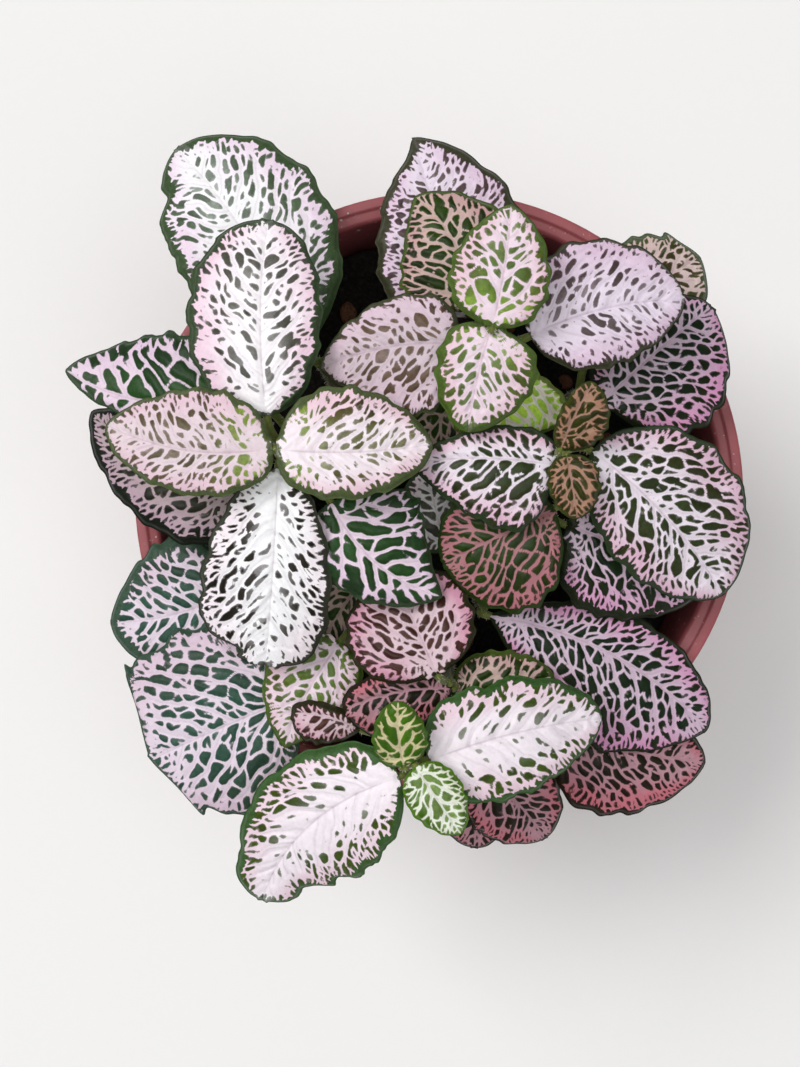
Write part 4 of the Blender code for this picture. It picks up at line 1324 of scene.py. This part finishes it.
def vein_colours(look, net, along, across, drift):
    """The veins' colours: pale by the midrib and the base, pinker outward and towards the tip,
    with painted shade in the troughs of the streaks on white blades.
    """
    ripe = np.sqrt(across ** 2 + 0.5 * np.clip(along - 0.35, 0, 1) ** 2)
    pink = smooth_step(0.25, 0.95, ripe + 0.1 * drift)
    colour = mix(linear(look.heart), linear(look.edge), pink)
    main = np.exp(-(net.to_side / 0.45) ** 2) * 0.35 + np.exp(-(net.to_midrib / 0.5) ** 2) * 0.5
    colour = mix(colour, linear(look.heart), np.clip(main, 0, 0.7))
    # Where the veins have swollen over a cell, its green still shows through a little.
    veil = 0.10 * smooth_step(-0.05, 0.35, net.unswollen) * (net.gap < 0.1)
    colour = mix(colour, mix(linear(look.cell), linear(look.edge), 0.5), veil)
    # Painted shade: on white blades the veins are darker in the troughs of the fine streaks.
    colour = colour * (1 - 0.09 * net.white * smooth_step(0.1, 1.2, -net.streaks))[..., None]
    groove = np.exp(-(net.to_midrib / 0.16) ** 2) * 0.45 * smooth_step(0.03, 0.15, along)
    groove = groove * (1 - 0.6 * along) + 0.22 * np.exp(-(net.to_side / 0.15) ** 2)
    return mix(colour, linear(GROOVE_COLOUR), np.clip(groove, 0, 0.6))


def cell_colours(leaf, net, vein_colour, along, across):
    """The colours of the green cells, each in its own tone, and of the rim."""
    look = LOOKS[leaf.look]
    colour = mix(linear(look.cell), linear(look.deep), smooth_step(0.2, 0.75, np.abs(across)))
    # The youngest leaves are still a fresh green towards their base.
    fresh = 0.6 * (leaf.base[2] >= CROWN_HEIGHT) * (1 - smooth_step(0.1, 0.4, along))
    colour = mix(colour, linear(FRESH_GREEN), fresh)
    colour = mix(colour, linear(look.rim), net.in_rim)
    colour = colour * (0.75 + 0.5 * net.tone * (1 - net.in_rim) + 0.25 * net.in_rim)[..., None]
    pale = 0.35 * net.white * (1 - smooth_step(0.1, 0.6, np.abs(across))) * net.tone
    return mix(colour, vein_colour, pale)


def side_faces(index, base, tip, along, low, high):
    """Faces and corner UVs of one side of a blade: its grid, and a fan at each end. Its UVs lie in the
    band of the map from low to high."""
    columns = np.linspace(low, high, index.shape[1])[None, :]
    uv = np.stack(np.broadcast_arrays(0.01 + 0.98 * along, columns), -1)
    base_uv = [0.002, (low + high) / 2]
    tip_uv = [0.998, (low + high) / 2]
    quads = np.stack((index[:-1, :-1], index[1:, :-1], index[1:, 1:], index[:-1, 1:]), -1)
    corners = np.stack((uv[:-1, :-1], uv[1:, :-1], uv[1:, 1:], uv[:-1, 1:]), 2)
    # A quad is drawn as two triangles that meet on the line from its first corner to its third. That line
    # follows the side veins, which slant the other way on the first half of the columns.
    half = index.shape[1] // 2
    quads[:, :half] = np.roll(quads[:, :half], 1, axis=2)
    corners[:, :half] = np.roll(corners[:, :half], 1, axis=2)
    faces = quads.reshape(-1, 4).tolist()
    uvs = corners.reshape(-1, 2).tolist()
    for i in range(index.shape[1] - 1):
        faces.append((base, int(index[0, i]), int(index[0, i + 1])))
        uvs += [base_uv, uv[0, i].tolist(), uv[0, i + 1].tolist()]
        faces.append((tip, int(index[-1, i + 1]), int(index[-1, i])))
        uvs += [tip_uv, uv[-1, i + 1].tolist(), uv[-1, i].tolist()]
    return faces, uvs


def closed_blade(name, along, top, bottom, rims, ends):
    """A mesh of the two sides of a blade, which share the rows of rim points and the two end points, and
    how many faces its upper side has."""
    tops = np.arange(top[..., 0].size).reshape(top.shape[:2])
    bottoms = np.arange(bottom[..., 0].size).reshape(bottom.shape[:2]) + tops.size
    lefts = np.arange(len(along))[:, None] + tops.size + bottoms.size
    rights = lefts + len(along)
    base = int(rights[-1, 0]) + 1
    tip = base + 1
    faces, uvs = side_faces(np.hstack((rights, tops, lefts)), base, tip, along, 0.30, 0.99)
    low_faces, low_uvs = side_faces(np.hstack((lefts, bottoms, rights)), base, tip, along, 0.27, 0.01)
    points = np.concatenate((top.reshape(-1, 3), bottom.reshape(-1, 3), *rims, ends))
    mesh = new_mesh(name, points, faces + low_faces)
    layer = mesh.uv_layers.new(name="OFBake")
    layer.data.foreach_set("uv", np.array(uvs + low_uvs).ravel())
    return mesh, len(faces)


def leaf_mesh(name, leaf, phase, seed, settings):
    """A blade with its relief, its vein net and its colours, and how many faces its upper side has."""
    rng = np.random.default_rng(seed)
    length = float(np.hypot(leaf.tip[0] - leaf.base[0], leaf.tip[1] - leaf.base[1]))
    step = settings.step / MM * min(1, sqrt(length / FINE_LENGTH))
    rows = max(40, round(1.35 * length / step))
    columns = max(25, round((leaf.left + leaf.right) / (1.1 * step)))
    columns += 1 - columns % 2
    along = spread(rows)[:, None]
    across = np.linspace(-1, 1, columns)[None, :]
    ripple = margin_ripple(along, across, length, rng)
    middle = blade_points(leaf, phase, along, across, ripple)
    along_grid, across_grid = np.broadcast_arrays(along, across)
    a = along_grid * length
    b = across_grid * half_width(leaf, phase, along_grid, across_grid, ripple)
    edge = np.array([*zip(a[:, 0], b[:, 0]), *zip(a[:, -1], b[:, -1]), (0, 0), (length, 0)])
    plan = VeinPlan(leaf, phase, edge, length, rng)
    net = with_rim(vein_net(plan, a, b, along_grid, across_grid, step, rng), leaf, a, b, rng)

    # The underside has fewer columns, and runs from the left margin to the right one.
    top, bottom = blade_sides(middle, net, along_grid, settings)
    picked = np.round(np.linspace(0, columns - 1, max(9, columns // 4))).astype(int)[::-1]
    rims = [middle[:, rim] + RIM_REACH * unit(middle[:, rim] - middle[:, beside], 1e-9)
            for rim, beside in ((-1, -2), (0, 1))]
    ends = [blade_points(leaf, phase, end, 0.0) for end in (0.0, 1.0)]
    mesh, upper_faces = closed_blade(name, along, top, bottom[:, picked], rims, ends)

    look = LOOKS[leaf.look]
    vein_colour = vein_colours(look, net, along_grid, across_grid, wander(a, b, 5.0, rng))
    cell_colour = cell_colours(leaf, net, vein_colour, along_grid, across_grid)
    low_gap = np.minimum(net.to_midrib - 0.45, net.to_side - 0.16)[:, picked]
    rim_points = 2 * len(along) + 2
    gaps = np.concatenate((net.gap.ravel(), low_gap.ravel(), np.full(rim_points, 0.6)))
    mesh.attributes.new("vein_gap", "FLOAT", "POINT").data.foreach_set("value", gaps)
    for attribute, above, below in (("vein_colour", vein_colour, settings.underside_vein),
                                    ("cell_colour", cell_colour, settings.underside)):
        colours = np.concatenate((above.reshape(-1, 3), np.tile(np.array(below), (low_gap.size, 1)),
                                  np.tile(linear(look.rim), (rim_points, 1))))
        full = np.hstack((np.clip(colours, 0, 1), np.ones((len(colours), 1))))
        mesh.attributes.new(attribute, "FLOAT_COLOR", "POINT").data.foreach_set("color", full.ravel())
    return mesh, upper_faces


def leaf_skin(name, gloss, detail):
    """A living leaf's skin: waxy and softly glossy, beaded by its cells, so that highlights break up into
    a fine satin. Veins are duller and smoother than the green between them."""
    material, place = new_material(name, {"IOR": 1.42, "Specular IOR Level": 0.22})
    gap = add_node(material, "ShaderNodeAttribute", {}, attribute_name="vein_gap", take="Fac")
    vein = add_node(material, "ShaderNodeAttribute", {}, attribute_name="vein_colour", take="Color")
    cell = add_node(material, "ShaderNodeAttribute", {}, attribute_name="cell_colour", take="Color")
    ragged = add_node(material, "ShaderNodeTexNoise", {
        "Vector": place, "Scale": per_metre(0.45), "Detail": 2.0})
    ragged = add_node(material, "ShaderNodeMapRange", {
        "Value": ragged, "From Min": 0.25, "From Max": 0.75, "To Min": -detail, "To Max": detail})
    gap = add_node(material, "ShaderNodeMath", {"Value": gap, "Value_001": ragged}, operation="ADD")
    green = add_node(material, "ShaderNodeMapRange", {
        "Value": gap, "From Min": -0.04, "From Max": 0.05}, interpolation_type="SMOOTHSTEP")
    # The green thins out at the edge of each cell.
    deep = add_node(material, "ShaderNodeMapRange", {
        "Value": gap, "From Min": 0.0, "From Max": 0.16, "To Min": 0.25, "To Max": 0.0})
    mottle = add_node(material, "ShaderNodeTexNoise", {
        "Vector": place, "Scale": per_metre(0.8), "Detail": 5.0, "Roughness": 0.6})
    cell_tone = add_node(material, "ShaderNodeMapRange", {
        "Value": mottle, "From Min": 0.3, "From Max": 0.7, "To Min": 0.75, "To Max": 1.25})
    vein_tone = add_node(material, "ShaderNodeMapRange", {
        "Value": mottle, "From Min": 0.3, "From Max": 0.7, "To Min": 0.93, "To Max": 1.04})
    cell = add_node(material, "ShaderNodeHueSaturation", {"Color": cell, "Value": cell_tone})
    cell = add_node(material, "ShaderNodeMix", {
        "Factor_Float": deep, "A_Color": cell, "B_Color": vein}, data_type="RGBA", take="Result_Color")
    vein = add_node(material, "ShaderNodeHueSaturation", {"Color": vein, "Value": vein_tone})
    colour = add_node(material, "ShaderNodeMix", {
        "Factor_Float": green, "A_Color": vein, "B_Color": cell}, data_type="RGBA", take="Result_Color")
    rough = add_node(material, "ShaderNodeMapRange", {
        "Value": green, "To Min": gloss + 0.12, "To Max": gloss})
    # A leaf's own cells are about 0.05 mm and would not show, so the beading is drawn 0.35 mm across.
    beads = add_node(material, "ShaderNodeTexVoronoi", {"Vector": place, "Scale": per_metre(0.35)},
                     take="Distance")
    relief = add_node(material, "ShaderNodeBump", {
        "Height": beads, "Strength": 0.3, "Distance": 0.06 * MM})
    feed(material, {"Base Color": colour, "Roughness": rough, "Normal": relief})
    return material


def make_leaves(settings):
    """Every leaf blade, as a piece of its own."""
    upper = leaf_skin("waxy_leaf_upper_skin", 0.42, 0.04)
    lower = leaf_skin("matt_leaf_underside", 0.6, 0.12)
    for shoot in SHOOTS:
        for number, leaf in enumerate(shoot.leaves, start=1):
            phase = leaf_phase(shoot, number)
            seed = 100 * SHOOTS.index(shoot) + number
            name = f"{shoot.name}_leaf_{number}"
            mesh, upper_faces = leaf_mesh(name, leaf, phase, seed, settings)
            add_piece(name, mesh, [upper, lower], shoot.name)
            slots = np.ones(len(mesh.polygons), int)
            slots[:upper_faces] = 0
            mesh.polygons.foreach_set("material_index", slots)


# The stage

def painted_floor(settings):
    """A floor painted with matt white emulsion: even and pale, with a faint roller stipple."""
    material, place = new_material("matt_emulsion_floor", {
        "IOR": 1.5, "Specular IOR Level": 0.2, "Roughness": 0.85})
    stipple = add_node(material, "ShaderNodeTexNoise", {
        "Vector": place, "Scale": per_metre(2.5), "Detail": 3.0})
    tone = add_node(material, "ShaderNodeMapRange", {"Value": stipple, "To Min": 0.985, "To Max": 1.0})
    colour = add_node(material, "ShaderNodeHueSaturation", {"Color": (*settings.floor, 1), "Value": tone})
    relief = add_node(material, "ShaderNodeBump", {
        "Height": stipple, "Strength": 0.05, "Distance": 0.1 * MM})
    feed(material, {"Base Color": colour, "Normal": relief})
    return material


def make_stage(settings):
    """Camera, floor and light. The camera looks straight down on the plant."""
    scene = bpy.context.scene
    camera = bpy.data.cameras.new("camera")
    camera.sensor_fit = "VERTICAL"
    camera.sensor_height = SENSOR_HEIGHT
    camera.lens = LENS
    scene.camera = add_object("camera", camera)
    scene.camera.location = (CAMERA_X * MM, CAMERA_Y * MM, settings.camera_height)

    floor_mesh = bpy.data.meshes.new("floor")
    grid = bmesh.new()
    bmesh.ops.create_grid(grid, x_segments=8, y_segments=8, size=1.5)
    grid.to_mesh(floor_mesh)
    grid.free()
    floor_mesh.materials.append(painted_floor(settings))
    floor = add_object("floor", floor_mesh)
    floor.location.z = CAD_BOX[0][2] - FLOOR_DROP * MM

    # The places and sizes of the lamps are in metres.
    for name, place, size, share in (("window", (-0.85, 0.5, 1.6), 0.8, 1.15),
                                     ("overhead", (0.1, -0.1, 1.9), 1.2, 0.7),
                                     ("bounce", (1.2, -1.1, 0.9), 1.0, 0.2)):
        lamp = bpy.data.lights.new(name, "AREA")
        lamp.shape = "SQUARE"
        lamp.size = size
        lamp.energy = settings.daylight * share
        light = add_object(name, lamp)
        light.location = place
        aim = Vector((0, 0, 0.1)) - Vector(place)
        light.rotation_euler = aim.to_track_quat("-Z", "Y").to_euler()
    world = bpy.data.worlds.new("sky")
    world.use_nodes = True
    sky = world.node_tree.nodes["Background"]
    sky.inputs["Color"].default_value = (*linear("#F3F6FA"), 1)
    sky.inputs["Strength"].default_value = settings.skylight
    scene.world = world
    scene.view_settings.view_transform = "Standard"


# Operators and panel

class NERVEPLANT_OT_pot(Operator):
    """Make the nursery pot"""
    bl_idname = "nerveplant.pot"
    bl_label = "Pot"

    def execute(self, context):
        make_pot(context.scene.nerveplant_pot)
        return {"FINISHED"}


class NERVEPLANT_OT_soil(Operator):
    """Make the soil and what lies loose on it"""
    bl_idname = "nerveplant.soil"
    bl_label = "Soil"

    def execute(self, context):
        make_soil(context.scene.nerveplant_soil)
        make_litter(context.scene.nerveplant_soil)
        return {"FINISHED"}


class NERVEPLANT_OT_stems(Operator):
    """Make the stems with their petioles, buds and down"""
    bl_idname = "nerveplant.stems"
    bl_label = "Stems"

    def execute(self, context):
        make_stems(context.scene.nerveplant_stems)
        return {"FINISHED"}


class NERVEPLANT_OT_leaves(Operator):
    """Make the leaf blades with their vein nets"""
    bl_idname = "nerveplant.leaves"
    bl_label = "Leaves"

    def execute(self, context):
        make_leaves(context.scene.nerveplant_leaves)
        return {"FINISHED"}


class NERVEPLANT_OT_stage(Operator):
    """Make the camera, the floor and the lights"""
    bl_idname = "nerveplant.stage"
    bl_label = "Stage"

    def execute(self, context):
        make_stage(context.scene.nerveplant_stage)
        return {"FINISHED"}


class NERVEPLANT_PT_panel(Panel):
    """Lists the nerve plant's pieces"""
    bl_idname = "NERVEPLANT_PT_panel"
    bl_label = "Nerve plant"
    bl_space_type = "VIEW_3D"
    bl_region_type = "UI"
    bl_category = "Nerve Plant"

    def draw(self, context):
        for name, group in SETTINGS.items():
            box = self.layout.box()
            box.operator(f"nerveplant.{name}")
            for setting in group.__annotations__:
                box.prop(getattr(context.scene, f"nerveplant_{name}"), setting)


# The settings that each operator reads
SETTINGS = {
    "stage": StageSettings,
    "pot": PotSettings,
    "soil": SoilSettings,
    "stems": StemSettings,
    "leaves": LeafSettings,
}

CLASSES = (
    *SETTINGS.values(),
    NERVEPLANT_OT_stage, NERVEPLANT_OT_pot, NERVEPLANT_OT_soil, NERVEPLANT_OT_stems,
    NERVEPLANT_OT_leaves, NERVEPLANT_PT_panel,
)


def register():
    for item in CLASSES:
        bpy.utils.register_class(item)
    for name, group in SETTINGS.items():
        setattr(bpy.types.Scene, f"nerveplant_{name}", PointerProperty(type=group))


def unregister():
    for name in SETTINGS:
        delattr(bpy.types.Scene, f"nerveplant_{name}")
    for item in reversed(CLASSES):
        bpy.utils.unregister_class(item)


def main():
    """Makes the stage and the plant."""
    register()
    bpy.ops.nerveplant.stage()
    bpy.ops.nerveplant.pot()
    bpy.ops.nerveplant.soil()
    bpy.ops.nerveplant.stems()
    bpy.ops.nerveplant.leaves()
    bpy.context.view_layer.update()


if __name__ == "__main__":
    main()
